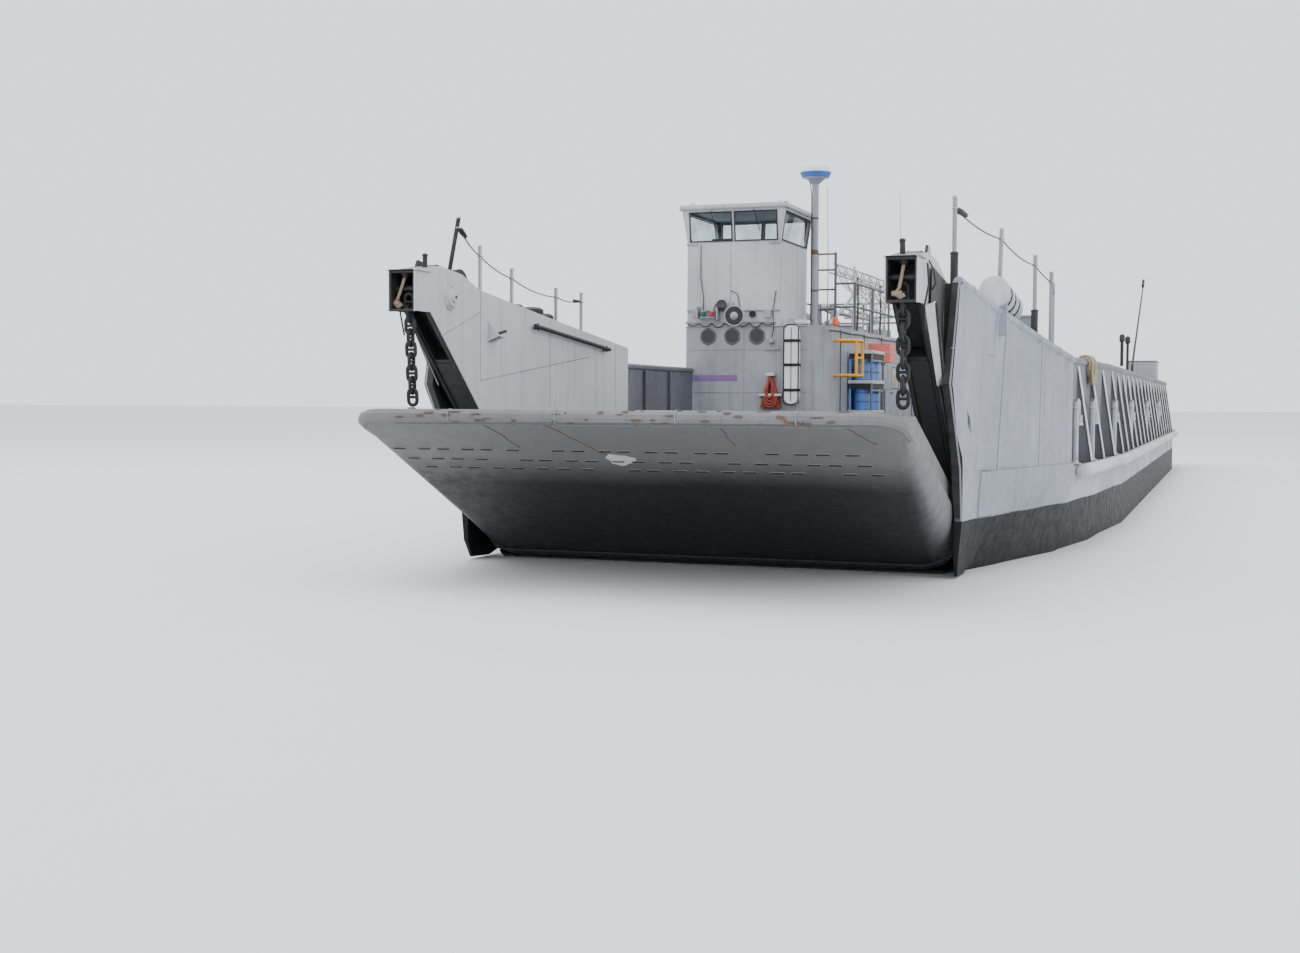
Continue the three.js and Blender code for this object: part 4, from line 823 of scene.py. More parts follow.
def stud_link(sketch, centre, run, across, length, width, bar):
    """One stud link: a stadium of bar with a stud across its middle."""
    straight, r = length / 2 - width / 2, width / 2 - bar
    points = []
    for turn_at, start in ((straight, -90), (-straight, 90)):
        for i in range(7):
            a = radians(start + 30 * i)
            points.append(centre + run * (turn_at + r * cos(a)) + across * r * sin(a))
    sketch.tube(points, bar, 8, closed=True)
    sketch.tube([centre - across * r, centre + across * r], bar * 0.75, 8)


def dress_chains():
    """Ramp chains from the pins in the horns to the ears on the ramp's kerbs."""
    ear_y, ear_z = ramp_at(0, 2.82, 0.44)[1:]
    for side, sx in SIDES:
        chain = Sketch()
        top, low = (Vector(p) for p in mirrored(sx, [(2.93, 1.85, 3.243), (2.93, ear_y, ear_z + 0.124)]))
        run = (low - top).normalized()
        for k in range(9):
            sideways = Vector((1, 0, 0)) if k % 2 == 0 else Vector((0, 1, 0))
            across = (sideways - run * sideways.dot(run)).normalized()
            stud_link(chain, top.lerp(low, k / 8), run, across, 0.238, 0.158, 0.0225)
        made = chain.piece("stud_chain_" + side, "chain", body=None, slot="chain_steel", crisp=60)
        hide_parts("ramp_chain_" + side)
        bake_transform(made)


def dress_horns():
    """Plates, hook, lug, brace, a black web of painted shade and hanging cables on each of the horns over
    the ramp.
    """
    for side, sx in SIDES:
        plates, hooks, dark = Sketch(), Sketch(), Sketch()
        plates.box(*span(sx, 2.745, 3.135), 1.665, 2.06, 3.601, 3.614)
        plates.box(*span(sx, 2.762, 3.118), 1.676, 1.692, 3.122, 3.152)
        for x in (2.766, 3.100):
            plates.box(*span(sx, x, x + 0.014), 1.678, 1.70, 3.13, 3.60)
        pin = sx * 2.95
        tip = pin + (-0.05 if side == "port" else -0.10)
        hooks.tube([(pin, 1.80, 3.56), ((pin + tip) / 2, 1.79, 3.40), (tip, 1.785, 3.27)], 0.020, 10)
        curl = [
            (tip, 1.785, 3.27), (tip - 0.05, 1.78, 3.215), (tip + 0.01, 1.775, 3.185),
            (tip + 0.065, 1.78, 3.215),
        ]
        hooks.tube(curl, 0.024, 10)
        hooks.lathe((tip - 0.02, 1.775, 3.225), PORT, hoop(0.012, 0.03, 0.06, 0.055), 12)
        dark.lathe((pin, 1.80, 3.572), (0, 0, -1), [(0.05, 0), (0.05, 0.02), (0.025, 0.05)], 14)
        dark.tube(mirrored(sx, [(2.87, 2.12, 3.60), (2.865, 2.12, 3.80)]), 0.034, 12, r_end=0.028)
        knob = [(0.028, 0), (0.036, 0.012), (0.036, 0.03), (0.016, 0.045)]
        dark.lathe((sx * 2.865, 2.12, 3.79), UP, knob, 12)
        lug = mirrored(sx, [(3.07, 2.24, 3.60), (3.07, 2.52, 3.60), (3.07, 2.46, 3.76), (3.07, 2.34, 3.78)])
        plates.slab(lug, (sx * 0.035, 0, 0))
        # A brace between the wall and the shell, with a dark flange, and a black web plate that is painted
        # shade under the bent top plate
        brace = mirrored(
            sx, [(3.112, 2.12, 3.10), (3.20, 2.30, 3.16), (3.175, 3.02, 2.28), (3.112, 2.92, 2.26)]
        )
        Sketch().slab(brace, (0, 0.02, 0.02)).piece("horn_brace_" + side, "light", bevel=0.005)
        dark.tube(brace[1:3], 0.022, 8)
        # The web: painted shade under the bent top plate
        web = [
            (sx * 3.134, y, z)
            for y, z in ((2.32, 3.16), (2.36, 3.56), (3.20, 3.45), (2.93, 2.45), (2.97, 2.32))
        ]
        dark.slab(web, (sx * 0.010, 0, 0))
        plates.piece("horn_plates_" + side, "bulwark", bevel=0.005)
        hooks.piece("horn_hook_" + side, "pale_rust", slot="chain_steel")
        long_cable = [(3.14, 2.10, 3.56), (3.17, 2.02, 3.34), (3.13, 2.00, 3.10), (3.125, 2.08, 2.86)]
        short_cable = [(3.13, 2.25, 3.60), (3.19, 2.16, 3.50), (3.20, 2.26, 3.36), (3.14, 2.40, 3.30)]
        dark.tube(mirrored(sx, long_cable), 0.011, 8)
        dark.tube(mirrored(sx, short_cable), 0.009, 8)
        dark.piece("horn_fittings_" + side, "black", slot="black_paint")


def dress_shells():
    """Weld lines on the bow shells and rings on their top rails."""
    lines = (
        ((2.86, 2.69), (3.6, 2.67), (4.72, 2.65)),
        ((3.66, 1.30), (4.4, 1.28), (5.05, 1.25), (6.4, 1.235), (7.96, 1.245)),
        ((5.075, 0.73), (5.08, 3.08)),
        ((6.55, 0.98), (6.56, 2.86)),
    )
    for side, sx in SIDES:
        seams = Sketch()
        for rows in lines:
            points = []
            for (y0, z0), (y1, z1) in zip(rows, rows[1:]):
                points += [(y0 + (y1 - y0) * i / 6, z0 + (z1 - z0) * i / 6) for i in range(6)]
            points.append(rows[-1])
            seams.tube([(sx * (shell_x(y, z) + 0.001), y, z) for y, z in points], 0.0075, 6)
        for y in (3.75, 4.7, 5.6, 6.45, 7.3):
            p = Vector((sx * (along(WING, y, 1) - 0.028), y, along(WING, y, 3) + 0.012))
            seams.lathe(p, (sx * 0.17, 0.98, -0.16), hoop(0.058, 0.068, 0.014, 0.008), 16)
        # The shell's front edge: top, its two knees, foot
        rim = [(3.232, 3.44), (2.884, 2.291), (3.603, 1.312), (3.852, 0.70)]
        seams.tube([(sx * (shell_x(y, z) - 0.012), y + 0.004, z) for y, z in rim], 0.014, 8)
        seams.piece("shell_welds_" + side, "weld")


def dress_walls():
    """Cover, bracket, stowed pole and welds on the inner faces of the bow walls."""
    # Weld lines. Columns: y and z at both ends
    lines = (
        ((3.40, 2.34), (7.08, 2.74)), ((2.35, 2.86), (3.40, 3.20)), ((3.41, 2.34), (3.41, 3.47)),
        ((5.6, 2.0), (5.6, 3.22)), ((8.1, 1.25), (8.1, 2.97)), ((5.2, 1.75), (8.6, 1.75)),
    )
    for side, sx in SIDES:
        fittings, dark, seams = Sketch(), Sketch(), Sketch()
        inward = (-sx, 0, 0)
        face = sx * 2.77
        cover = (face, 2.58, 3.34)
        steps = [
            (0.155, -0.004), (0.155, 0.022), (0.118, 0.024), (0.118, 0.05), (0.065, 0.052), (0.065, 0.078),
            (0.02, 0.08),
        ]
        fittings.lathe(cover, inward, steps, 32)
        dark.lathe(cover, inward, [(0.018, 0.07), (0.018, 0.092), (0.004, 0.094)], 12)
        for bolt in ring_points(cover, 0.137, 8, "yz"):
            fittings.lathe(bolt, inward, [(0.011, 0.02), (0.011, 0.031), (0.004, 0.032)], 6)
        tray = face - sx * 0.16
        fittings.slab([(face, 3.66, 2.83), (face, 3.66, 3.10), (tray, 3.66, 2.90)], (0, 0.018, 0))
        fittings.slab(
            [(face, 3.66, 2.83), (face, 3.90, 2.86), (tray, 3.80, 2.90), (tray, 3.66, 2.90)], (0, 0, 0.016)
        )
        dark.tube([(face - sx * 0.055, 3.72, 2.93), (face - sx * 0.10, 3.95, 2.985)], 0.02, 8)
        pole = face - sx * 0.065
        dark.tube([(pole, 4.96, 3.10), (pole, 7.70, 2.865)], 0.030, 12)
        for y, z in ((5.05, 3.092), (7.58, 2.875)):
            dark.tube([(face, y, z - 0.02), (face - sx * 0.075, y, z - 0.02)], 0.016, 8)
            dark.tube([(pole, y, z - 0.05), (pole, y, z + 0.045)], 0.014, 8)
        for ends in lines:
            seams.tube([(face + sx * 0.001, y, z) for y, z in ends], 0.007, 6)
        fittings.piece("wall_fittings_" + side, "bulwark", bevel=0.003)
        dark.piece("wall_pole_" + side, "black", slot="black_paint")
        seams.piece("wall_welds_" + side, "weld")


def dress_wing_tops():
    """Straps on the life raft canister, skirts of the mushroom vents, sheave rims."""
    straps, ribs, caps = Sketch(), Sketch(), Sketch()
    a, b = Vector((3.49, 4.62, 3.42)), Vector((3.49, 5.90, 3.29))
    run = (b - a).normalized()
    for t in (0.22, 0.5, 0.78):
        straps.lathe(a.lerp(b, t), run, hoop(0.17, 0.181, 0.03, 0.03), 24)
    for t in (0.0, 0.36, 0.64, 1.0):
        ribs.lathe(a.lerp(b, t), run, hoop(0.17, 0.19, 0.018, 0.012), 24)
    ribs.lathe(a - run * 0.012, run, [(0.10, -0.012), (0.155, -0.004), (0.155, 0.02)], 24)
    for x in (3.31, 3.69):
        ribs.box(x - 0.004, x + 0.004, 6.74, 7.06, 2.86, 3.235)
    ribs.box(3.29, 3.71, 6.73, 7.07, 3.226, 3.25)
    straps.piece("raft_straps", "webbing", slot="black_paint")
    ribs.piece("raft_ribs", "light", slot="light_paint", bevel=0.004)
    # Columns: y, top, radius
    for y, top, r in (
        (4.52, 3.47, 0.10), (4.80, 3.42, 0.09), (5.32, 3.41, 0.13), (5.89, 3.40, 0.17), (6.30, 3.33, 0.15)
    ):
        skirt = [
            (r * 0.98, -0.075), (r * 1.04, -0.07), (r * 1.04, -0.024), (r * 0.75, 0.008), (r * 0.3, 0.016),
            (0.01, 0.018),
        ]
        caps.lathe((-3.19, y, top), UP, skirt, 28)
    caps.piece("vent_skirts", "black", slot="black_paint")
    for side, sx in SIDES:
        sheaves = Sketch()
        for y, z, r in ((2.42, 3.60, 0.12), (3.03, 3.50, 0.21)):
            for x in (2.868, 3.012):
                sheaves.lathe((sx * x, y, z), PORT, hoop(r * 0.7, r * 1.04, 0.014, 0.012), 30)
            sheaves.lathe((sx * 2.94, y, z), PORT, hoop(r * 0.9, r * 1.01, 0.07, 0.05), 30)
        sheaves.piece("sheave_rims_" + side, "black")


# Tops of the lifeline stanchions. Columns: x, y, z
LIFELINE_TOPS = {
    "port": (
        (3.19, 3.50, 4.43), (3.52, 4.98, 4.21), (3.75, 6.51, 4.01), (3.885, 7.20, 3.84), (3.835, 7.90, 3.74)
    ),
    "starboard": (
        (-2.88, 3.03, 4.36), (-3.13, 4.13, 4.11), (-3.13, 5.11, 3.89), (-3.13, 6.63, 3.73),
        (-3.13, 7.59, 3.72),
    ),
}


def sagging(a, b, sag, n=14):
    """Points of a wire that hangs by sag between a and b."""
    out = []
    for i, p in enumerate(between(a, b, n)):
        t = i / n
        p.z -= sag * 4 * t * (1 - t)
        out.append(p)
    return out


def dress_lifelines():
    """Wires, turnbuckles, stanchion caps and, to port, the stanchions' sleeves."""
    for side, sx in SIDES:
        wires, dark, clips = Sketch(), Sketch(), Sketch()
        tops = LIFELINE_TOPS[side]
        held = [Vector((x, y, z - 0.13)) for x, y, z in tops]
        for a, b in zip(held, held[1:]):
            wires.tube(sagging(a, b, 0.035 * (b - a).length), 0.009, 6)
        first = (held[1] - held[0]).normalized()
        dark.lathe(
            held[0] + first * 0.03, first,
            [(0.010, 0), (0.034, 0.05), (0.038, 0.12), (0.030, 0.30), (0.010, 0.36)], 10,
        )
        last = (held[-2] - held[-1]).normalized()
        dark.lathe(held[-1] + last * 0.03, last, [(0.008, 0), (0.02, 0.03), (0.02, 0.26), (0.008, 0.30)], 8)
        for (x, y, z), p in zip(tops, held):
            clips.lathe(
                (x, y, z - 0.004), UP, [(0.026, -0.01), (0.031, -0.004), (0.031, 0.010), (0.012, 0.016)], 14
            )
            clips.tube(ring_points(p, 0.034, 12, "xy"), 0.008, 6, closed=True)
        wires.piece("lifelines_" + side, "steel", slot="chain_steel")
        dark.piece("turnbuckles_" + side, "black", slot="black_paint")
        clips.piece("stanchion_caps_" + side, "light")
        if side == "port":
            for x, y, z in ((3.19, 3.50, 3.79), (3.475, 4.98, 3.56), (3.75, 6.51, 3.29)):
                collar = Sketch().lathe(
                    (x, y, z), UP, [(0.04, -0.02), (0.049, -0.016), (0.049, 0.008), (0.032, 0.014)], 16
                )
                collar.lathe(
                    (x, y, z - 0.34), UP, [(0.0445, 0), (0.0455, 0.01), (0.0455, 0.33), (0.0445, 0.335)], 16
                )
                collar.piece("stanchion_socket_%.0f" % (y * 100), "black")


def pipe_middle(sx, y):
    """The guard pipe's middle line."""
    return (sx * (along(DECK_HALF, y) + 0.0885), y, 1.13)


def dress_bulwarks():
    """Flanges on the stays in white, a painted highlight along their edges; stiffeners inside, bands on the
    guard pipes.
    """
    pitch = 1.5
    # Columns: side, sign of x, first stay, last stay
    for side, sx, first, last in (
        ("port", 1, 9.9, 40.4), ("starboard_forward", -1, 9.9, 15.4), ("starboard_aft", -1, 26.4, 40.4)
    ):
        flanges, inside = Sketch(), Sketch()
        count = int((last - first) / pitch + 0.01) + 1
        for k in range(count):
            y = first + pitch * k
            half = along(DECK_HALF, y)
            foot = Vector((sx * (half - 0.015), 0, DECK + 0.01))
            head = Vector((sx * (half - 0.235), 0, 2.64))
            out = Vector((head.z - foot.z, 0, foot.x - head.x)).normalized() * (0.020 * sx)
            outline = [(p.x, y - 0.055, p.z) for p in (foot, head)]
            outline += [(p.x, y + 0.055, p.z) for p in (head, foot)]
            flanges.slab(outline, out)
            x = sx * (half - 0.29)
            # A web and its flange. Columns: outer and inner x off the plate, half width
            for outer, inner, half_width in ((0.004, -0.055, 0.006), (-0.048, -0.060, 0.04)):
                x0, x1 = sorted((x + sx * outer, x + sx * inner))
                inside.box(x0, x1, y - half_width, y + half_width, DECK + 0.02, 2.66)
        # White flanges: painted highlight on the stays' edges
        flanges.piece("stay_flanges_highlight_" + side, "white", slot="light_paint", bevel=0.003)
        # The stiffeners take the darker side grey, painted shade
        inside.piece("bulwark_stiffeners_" + side, "side")
    for side, sx in SIDES:
        bands = Sketch()
        for k in range(12):
            y = 9.2 + 2.85 * k
            slope = (along(DECK_HALF, y + 0.1) - along(DECK_HALF, y - 0.1)) / 0.2
            bands.lathe(pipe_middle(sx, y), (sx * slope, 1, 0), hoop(0.088, 0.099, 0.012, 0.008), 20)
        for y, end in ((8.3, -1), (41.3, 1)):
            bands.lathe(
                pipe_middle(sx, y), (0, end, 0),
                [(0.09, -0.01), (0.085, 0.012), (0.06, 0.03), (0.01, 0.036)], 20,
            )
        bands.piece("guard_pipe_bands_" + side, "light", slot="light_paint")


def dress_bow_plates():
    """Doubler plates along the bow's side, over the joint of the hull with the shells."""
    def hull_x(y, z):
        deck, half = along(DECK_LINE, y), along(DECK_HALF, y)
        if z >= deck:
            return shell_x(y, z)
        low, bottom = along(BILGE_LINE, y), along(BILGE_LINE, y, 2)
        knuckle = bottom + min(BILGE, deck - bottom - 0.06)
        return half + (low - half) * (deck - z) / (deck - knuckle)

    for side, sx in SIDES:
        rings = []
        for i in range(23):
            y = 4.55 + (8.02 - 4.55) * i / 22
            deck = min(max(along(DECK_LINE, y), 0.74), DECK)
            heights = [0.70, (0.70 + deck) / 2, deck - 0.004, (deck + 1.25) / 2, 1.25]
            skin = [(sx * (hull_x(y, z) + 0.010), y, z) for z in heights]
            back = [(sx * (hull_x(y, z) - 0.020), y, z) for z in reversed(heights)]
            rings.append(skin + back)
        Sketch().loft(rings).piece("bow_side_plate_" + side, "bulwark", crisp=25)


def porthole(rims, panes, centre, axis, r):
    """A double rim, six bolts and a pane on a wall that faces along the axis."""
    plane = "xz" if abs(axis[1]) > 0.5 else "yz"
    for radius, thick in ((r + 0.026, 0.015), (r + 0.044, 0.009)):
        rims.tube(ring_points(centre, radius, 36, plane), thick, 8, closed=True)
    for bolt in arc_points(centre, r + 0.03, 30, 330, 5, plane):
        rims.lathe(bolt, axis, [(0.013, 0.0), (0.013, 0.034), (0.006, 0.036)], 8)
    panes.lathe(centre, axis, [(r + 0.018, -0.004), (r + 0.018, 0.004), (r * 0.6, 0.006)], 32)


def dress_house_front():
    """Ledges, portholes, lamps, hailer, cables and seams on the deckhouse's forward face."""
    front = HOUSE_FRONT
    plates, rims, panes, dark, seams = Sketch(), Sketch(), Sketch(), Sketch(), Sketch()
    # Ledges, brackets and boxes. Columns: x0, x1, reach out of the wall, reach into it, z0, z1
    for x0, x1, out, into, z0, z1 in (
        (-4.275, -2.305, 0.028, 0.01, 3.905, 3.93), (-4.295, -2.42, 0.045, 0.01, 3.668, 3.70),
        (-4.295, -1.75, 0.02, 0.01, 3.588, 3.612), (-4.02, -3.985, 0.20, 0, 3.76, 4.0),
        (-3.60, -3.57, 0.18, 0, 3.72, 3.96), (-2.62, -2.34, 0.03, 0, 3.12, 3.18),
        (-2.14, -2.02, 0.09, 0, 3.62, 3.74), (-2.62, -2.49, 0.07, 0.005, 3.76, 3.92),
        (-3.36, -3.28, 0.07, 0.005, 3.985, 4.085), (-4.14, -4.05, 0.07, 0.005, 3.80, 3.92),
    ):
        plates.box(x0, x1, front - out, front + into, z0, z1)
    for x in (-3.82, -3.31, -2.79):
        porthole(rims, panes, (x, front, 3.40), FORE, 0.12)
    # Searchlight on a bracket, then the hailer's throat, with a black disc across its mouth as painted
    # shade inside
    searchlight = ((-3.51, front - 0.06, 4.03), (0.2, -1, 0))
    dark.lathe(
        *searchlight,
        [(0.03, -0.05), (0.085, 0.0), (0.10, 0.09), (0.104, 0.10), (0.085, 0.101), (0.02, 0.085)], 24,
    )
    dark.box(-3.54, -3.48, front - 0.075, front, 3.92, 3.96)
    panes.lathe(*searchlight, [(0.084, 0.09), (0.084, 0.104), (0.05, 0.108)], 24)
    mouth = (-3.15, front - 0.404, 3.79)
    # A black disc across the mouth: painted shade in the throat
    dark.lathe(mouth, FORE, [(0.172, -0.002), (0.172, 0.003), (0.10, 0.004)], 32)
    plates.tube(ring_points(mouth, 0.198, 36), 0.015, 8, closed=True)
    plates.lathe(mouth, FORE, [(0.085, 0.0), (0.07, 0.014), (0.035, 0.045), (0.010, 0.052)], 18)
    plates.lathe((-2.48, front, 3.30), FORE, [(0.06, 0), (0.06, 0.05), (0.045, 0.09), (0.02, 0.095)], 16)
    for z in (2.27, 3.13):
        seams.tube([(x, front - 0.001, z) for x in (-4.24, (-4.24 - 1.75) / 2, -1.75)], 0.0065, 6)
    for x, z0, z1 in ((-3.06, 1.25, 3.58), (-3.35, 3.94, 5.28)):
        seams.tube([(x, front - 0.001, z) for z in (z0, (z0 + z1) / 2, z1)], 0.0065, 6)
    for points in (
        ((-3.92, 3.92), (-3.92, 4.2), (-3.98, 4.6), (-3.98, 5.26)),
        ((-2.48, 3.38), (-2.44, 3.55), (-2.46, 3.9), (-2.40, 4.3)),
        ((-3.72, 3.90), (-3.66, 4.05), (-3.55, 4.10), (-3.52, 4.03)),
        ((-3.15, 3.99), (-3.20, 4.25), (-3.34, 4.32)),
    ):
        dark.tube([(x, front - 0.016, z) for x, z in points], 0.0085, 6)
    # A cable hung in loops under the ledge, and a second lamp
    loop = 0.264
    for k in range(7):
        x = -4.26 + loop * k
        drop = 0.045 + 0.02 * (k % 3)
        line = [(x + loop * t / 8, front - 0.045, 3.662 - drop * sin(pi * t / 8)) for t in range(9)]
        dark.tube(line, 0.0105, 6)
    dark.lathe(
        (-2.86, front - 0.05, 3.84), (0.1, -1, -0.1),
        [(0.03, -0.04), (0.062, 0.0), (0.07, 0.07), (0.058, 0.072), (0.02, 0.06)], 20,
    )
    plates.piece("house_ledges", "house", bevel=0.004)
    rims.piece("front_porthole_rims", "side")
    panes.piece("front_porthole_panes", "dark_glass", slot="window_glass")
    dark.piece("house_lamps", "black", slot="black_paint")
    seams.piece("house_welds", "weld")
    for name, x, material in (
        ("nav_lens_starboard", -3.88, "green"), ("nav_lens_inner", -3.70, "red_lens")
    ):
        lens = Sketch().lathe((x, front - 0.16, 3.85), UP, hoop(0.03, 0.046, 0.045, 0.035), 20)
        lens.piece(name, material, slot="window_glass")
    stripe = Sketch().box(-4.2, -3.2, front - 0.003, front + 0.004, 2.50, 2.62)
    stripe.piece("front_stripe", "purple", bevel=0.001)
    beacon = Sketch().lathe(
        (-1.42, 16.95, ROOF), UP,
        [(0.05, 0), (0.05, 0.05), (0.062, 0.055), (0.060, 0.17), (0.04, 0.205), (0.01, 0.212)], 20,
    )
    beacon.piece("roof_beacon", "orange", slot="window_glass")
    # Loose loops of cable on the roof, each turn a little off the last
    loops = []
    for i in range(120):
        a = 2 * pi * i / 24
        x = -1.95 + 0.19 * cos(a) + 0.02 * sin(a * 0.21)
        y = 16.10 + 0.12 * sin(a) + 0.03 * cos(a * 0.17)
        loops.append((x, y, 3.612 + 0.00065 * i + 0.012 * (1 + sin(a * 0.5))))
    Sketch().tube(loops, 0.012, 7).piece("roof_cable_loops", "white", slot="fender_rubber")


def dress_litter_and_hose():
    """The litter's straps and hem, and the hose looped in its rack."""
    dark, straps, grey = Sketch(), Sketch(), Sketch()
    x, y = -2.04, 15.795
    for z in (2.32, 2.82, 3.30):
        straps.box(x - 0.158, x + 0.158, y - 0.012, y + 0.15, z - 0.028, z + 0.028)
    outline = [
        (x - 0.150, y, 2.06), (x - 0.150, y, 3.56), (x - 0.09, y, 3.615), (x + 0.09, y, 3.615),
        (x + 0.150, y, 3.56), (x + 0.150, y, 2.06), (x + 0.07, y, 2.035), (x - 0.07, y, 2.035),
    ]
    dark.tube(outline, 0.013, 8, closed=True)
    dark.tube([(x, y - 0.002, z) for z in (2.1, 2.6, 3.1, 3.56)], 0.007, 6)
    straps.piece("litter_straps", "webbing", slot="black_paint", bevel=0.004)
    dark.piece("litter_frame", "black", slot="black_paint")
    hose = Sketch()
    top = 2.60
    # Columns: half width, foot
    for k, (half, low) in enumerate(((0.20, 1.98), (0.165, 2.03), (0.125, 2.09), (0.085, 2.16))):
        loop = []
        for a in turns(30):
            width = half * (0.55 - 0.45 * sin(a))
            z = (low + top) / 2 + (top - low) / 2 * sin(a)
            loop.append((-2.475 + width * cos(a), 15.83 - 0.008 * k, z))
        hose.tube(loop, 0.020, 8, closed=True)
    hose.piece("hose_loops", "hose", slot="rope_fibre")
    grey.box(-2.72, -2.23, 15.80, 15.845, 2.195, 2.245)
    grey.box(-2.56, -2.39, 15.78, 15.95, 2.60, 2.66)
    grey.piece("hose_bar", "light", bevel=0.004)


def dress_pilothouse():
    """Frames and gaskets on the raked windows, wipers, gutter, what stands inside and roof fittings."""
    x0, x1, y0, y1 = -4.27, -2.31, 15.95, 18.02
    foot, sill, head, rake = 5.29, 5.312, 5.895, 0.09 / 0.655
    frames, gaskets, inside = Sketch(), Sketch(), Sketch()

    def raked(face, a, z, out=0.0):
        """A point on a wall that leans out, a along it."""
        lean = (z - foot) * rake + out
        if face == "front":
            return (a, y0 - lean, z)
        if face == "back":
            return (a, y1 + lean, z)
        return (x1 + lean, a, z) if face == "port" else (x0 - lean, a, z)

    outward = {
        "front": (0, -1, 0.18), "back": (0, 1, 0.18), "port": (1, 0, 0.18), "starboard": (-1, 0, 0.18)
    }
    middle = (x0 + x1) / 2
    post, mullion = 0.062, 0.0275
    halves = ((x0 + post, middle - mullion), (middle + mullion, x1 - post))
    panes = [(face, *half) for face in ("front", "back") for half in halves]
    panes += [(face, y0 + post, y1 - post) for face in ("port", "starboard")]
    for face, a, b in panes:
        for inset, width, sketch, thick in ((0.0, 0.018, gaskets, 0.016), (-0.018, 0.014, frames, 0.010)):
            lo, hi, bottom, top = a + inset, b - inset, sill + inset, head - inset
            for corners in (
                ((lo, bottom), (hi, bottom), (hi, bottom + width), (lo, bottom + width)),
                ((lo, top - width), (hi, top - width), (hi, top), (lo, top)),
                ((lo, bottom), (lo + width, bottom), (lo + width, top), (lo, top)),
                ((hi - width, bottom), (hi, bottom), (hi, top), (hi - width, top)),
            ):
                outline = [raked(face, *corner, out=-0.002) for corner in corners]
                sketch.slab(outline, Vector(outward[face]) * thick)
    # Wipers
    for a in (-3.75, -2.85):
        gaskets.tube([raked("front", a, 5.93, 0.02), raked("front", a + 0.12, 5.50, 0.028)], 0.009, 6)
    frames.box(x0 - 0.140, x1 + 0.140, y0 - 0.140, y1 + 0.140, 5.958, 5.980)
    for a, b in ((x0 - 0.01, -4.05), (-2.55, x1 + 0.01)):
        frames.box(a, b, y0 - 0.015, y0 + 0.005, 5.24, 5.30)
    # Inside: console, screens, wheel, chair
    console = []
    for z, deep in ((3.68, 0.35), (4.75, 0.42), (4.95, 0.30)):
        after = 16.35 + deep
        console.append([(-4.05, 16.35, z), (-2.55, 16.35, z), (-2.55, after, z), (-4.05, after, z)])
    inside.loft(console)
    inside.box(-3.90, -3.45, 16.42, 16.50, 4.95, 5.42)
    inside.box(-3.10, -2.72, 16.42, 16.52, 4.95, 5.36)
    hub, wheel_r = (-3.30, 16.90, 4.85), 0.26
    inside.tube(ring_points(hub, wheel_r, 28), 0.02, 8, closed=True)
    for spoke in arc_points(hub, wheel_r, 90, 330, 2):
        inside.tube([hub, spoke], 0.013, 6)
    inside.tube([hub, (-3.30, 16.72, 4.80)], 0.03, 10)
    inside.box(-3.55, -3.05, 17.30, 17.75, 4.45, 4.58)
    inside.box(-3.53, -3.07, 17.68, 17.78, 4.58, 5.30)
    inside.tube([(-3.30, 17.52, 3.68), (-3.30, 17.52, 4.46)], 0.06, 12)
    frames.piece("window_frames", "house", bevel=0.003)
    gaskets.piece("window_gaskets", "rubber", slot="black_paint")
    inside.piece("pilothouse_fittings", "interior", bevel=0.006)
    roof = Sketch()
    roof.lathe(
        (-3.9, 17.5, 6.07), UP, [(0.05, 0), (0.05, 0.08), (0.10, 0.10), (0.10, 0.14), (0.03, 0.17)], 18
    )
    roof.lathe(
        (-2.7, 17.7, 6.06), UP, [(0.04, 0), (0.04, 0.16), (0.06, 0.17), (0.05, 0.24), (0.01, 0.25)], 16
    )
    for x, y in ((-4.2, 15.99), (-2.38, 15.99), (-4.2, 17.98), (-2.38, 17.98)):
        eye = [(x, y, 6.04), (x, y, 6.09), (x + 0.03, y, 6.11), (x + 0.06, y, 6.09), (x + 0.06, y, 6.04)]
        roof.tube(eye, 0.009, 6)
    roof.piece("pilothouse_roof_fittings", "light")


def dress_dome():
    """Blue band, cone and sleeve of the satellite dome's pole, with its cable and rust collar."""
    x, y = -2.03, 17.6
    band = Sketch().lathe(
        (x, y, 0), UP, [(0.272, 6.731), (0.328, 6.834), (0.3265, 6.846), (0.30, 6.85)], 48
    )
    band.piece("dome_band", "blue", slot="blue_plastic")
    sleeve = Sketch().lathe(
        (x, y, 0), UP,
        [(0.066, 3.66), (0.069, 3.67), (0.069, 6.60), (0.099, 6.628), (0.195, 6.719), (0.19, 6.725)], 32,
    )
    sleeve.lathe((x, y, ROOF), UP, [(0.14, 0), (0.14, 0.02), (0.075, 0.03), (0.075, 0.07)], 24)
    foot = Vector((x, y, 3.62))
    for out in (Vector(p) for p in arc_points((0, 0, 0), 1, 30, 270, 2, "xy")):
        side = Vector((-out.y, out.x, 0)) * 0.008
        gusset = [foot + out * 0.066, foot + out * 0.135, foot + out * 0.066 + Vector((0, 0, 0.16))]
        sleeve.slab([p - side for p in gusset], side * 2)
    sleeve.piece("dome_sleeve", "house")
    collar = Sketch().lathe((x, y, 5.2), UP, hoop(0.07, 0.076, 0.05, 0.04), 24)
    for z in (4.4, 5.9):
        collar.lathe((x, y, z), UP, hoop(0.07, 0.075, 0.02, 0.015), 24)
    collar.piece("dome_collars", "rusty")
    cable = [(x - 0.07, y - 0.035, 3.62 + 0.25 * k) for k in range(12)]
    cable += [(x - 0.09, y - 0.06, 6.60), (x - 0.12, y - 0.05, 6.70)]
    Sketch().tube(cable, 0.010, 7).piece("dome_cable", "black", slot="fender_rubber")


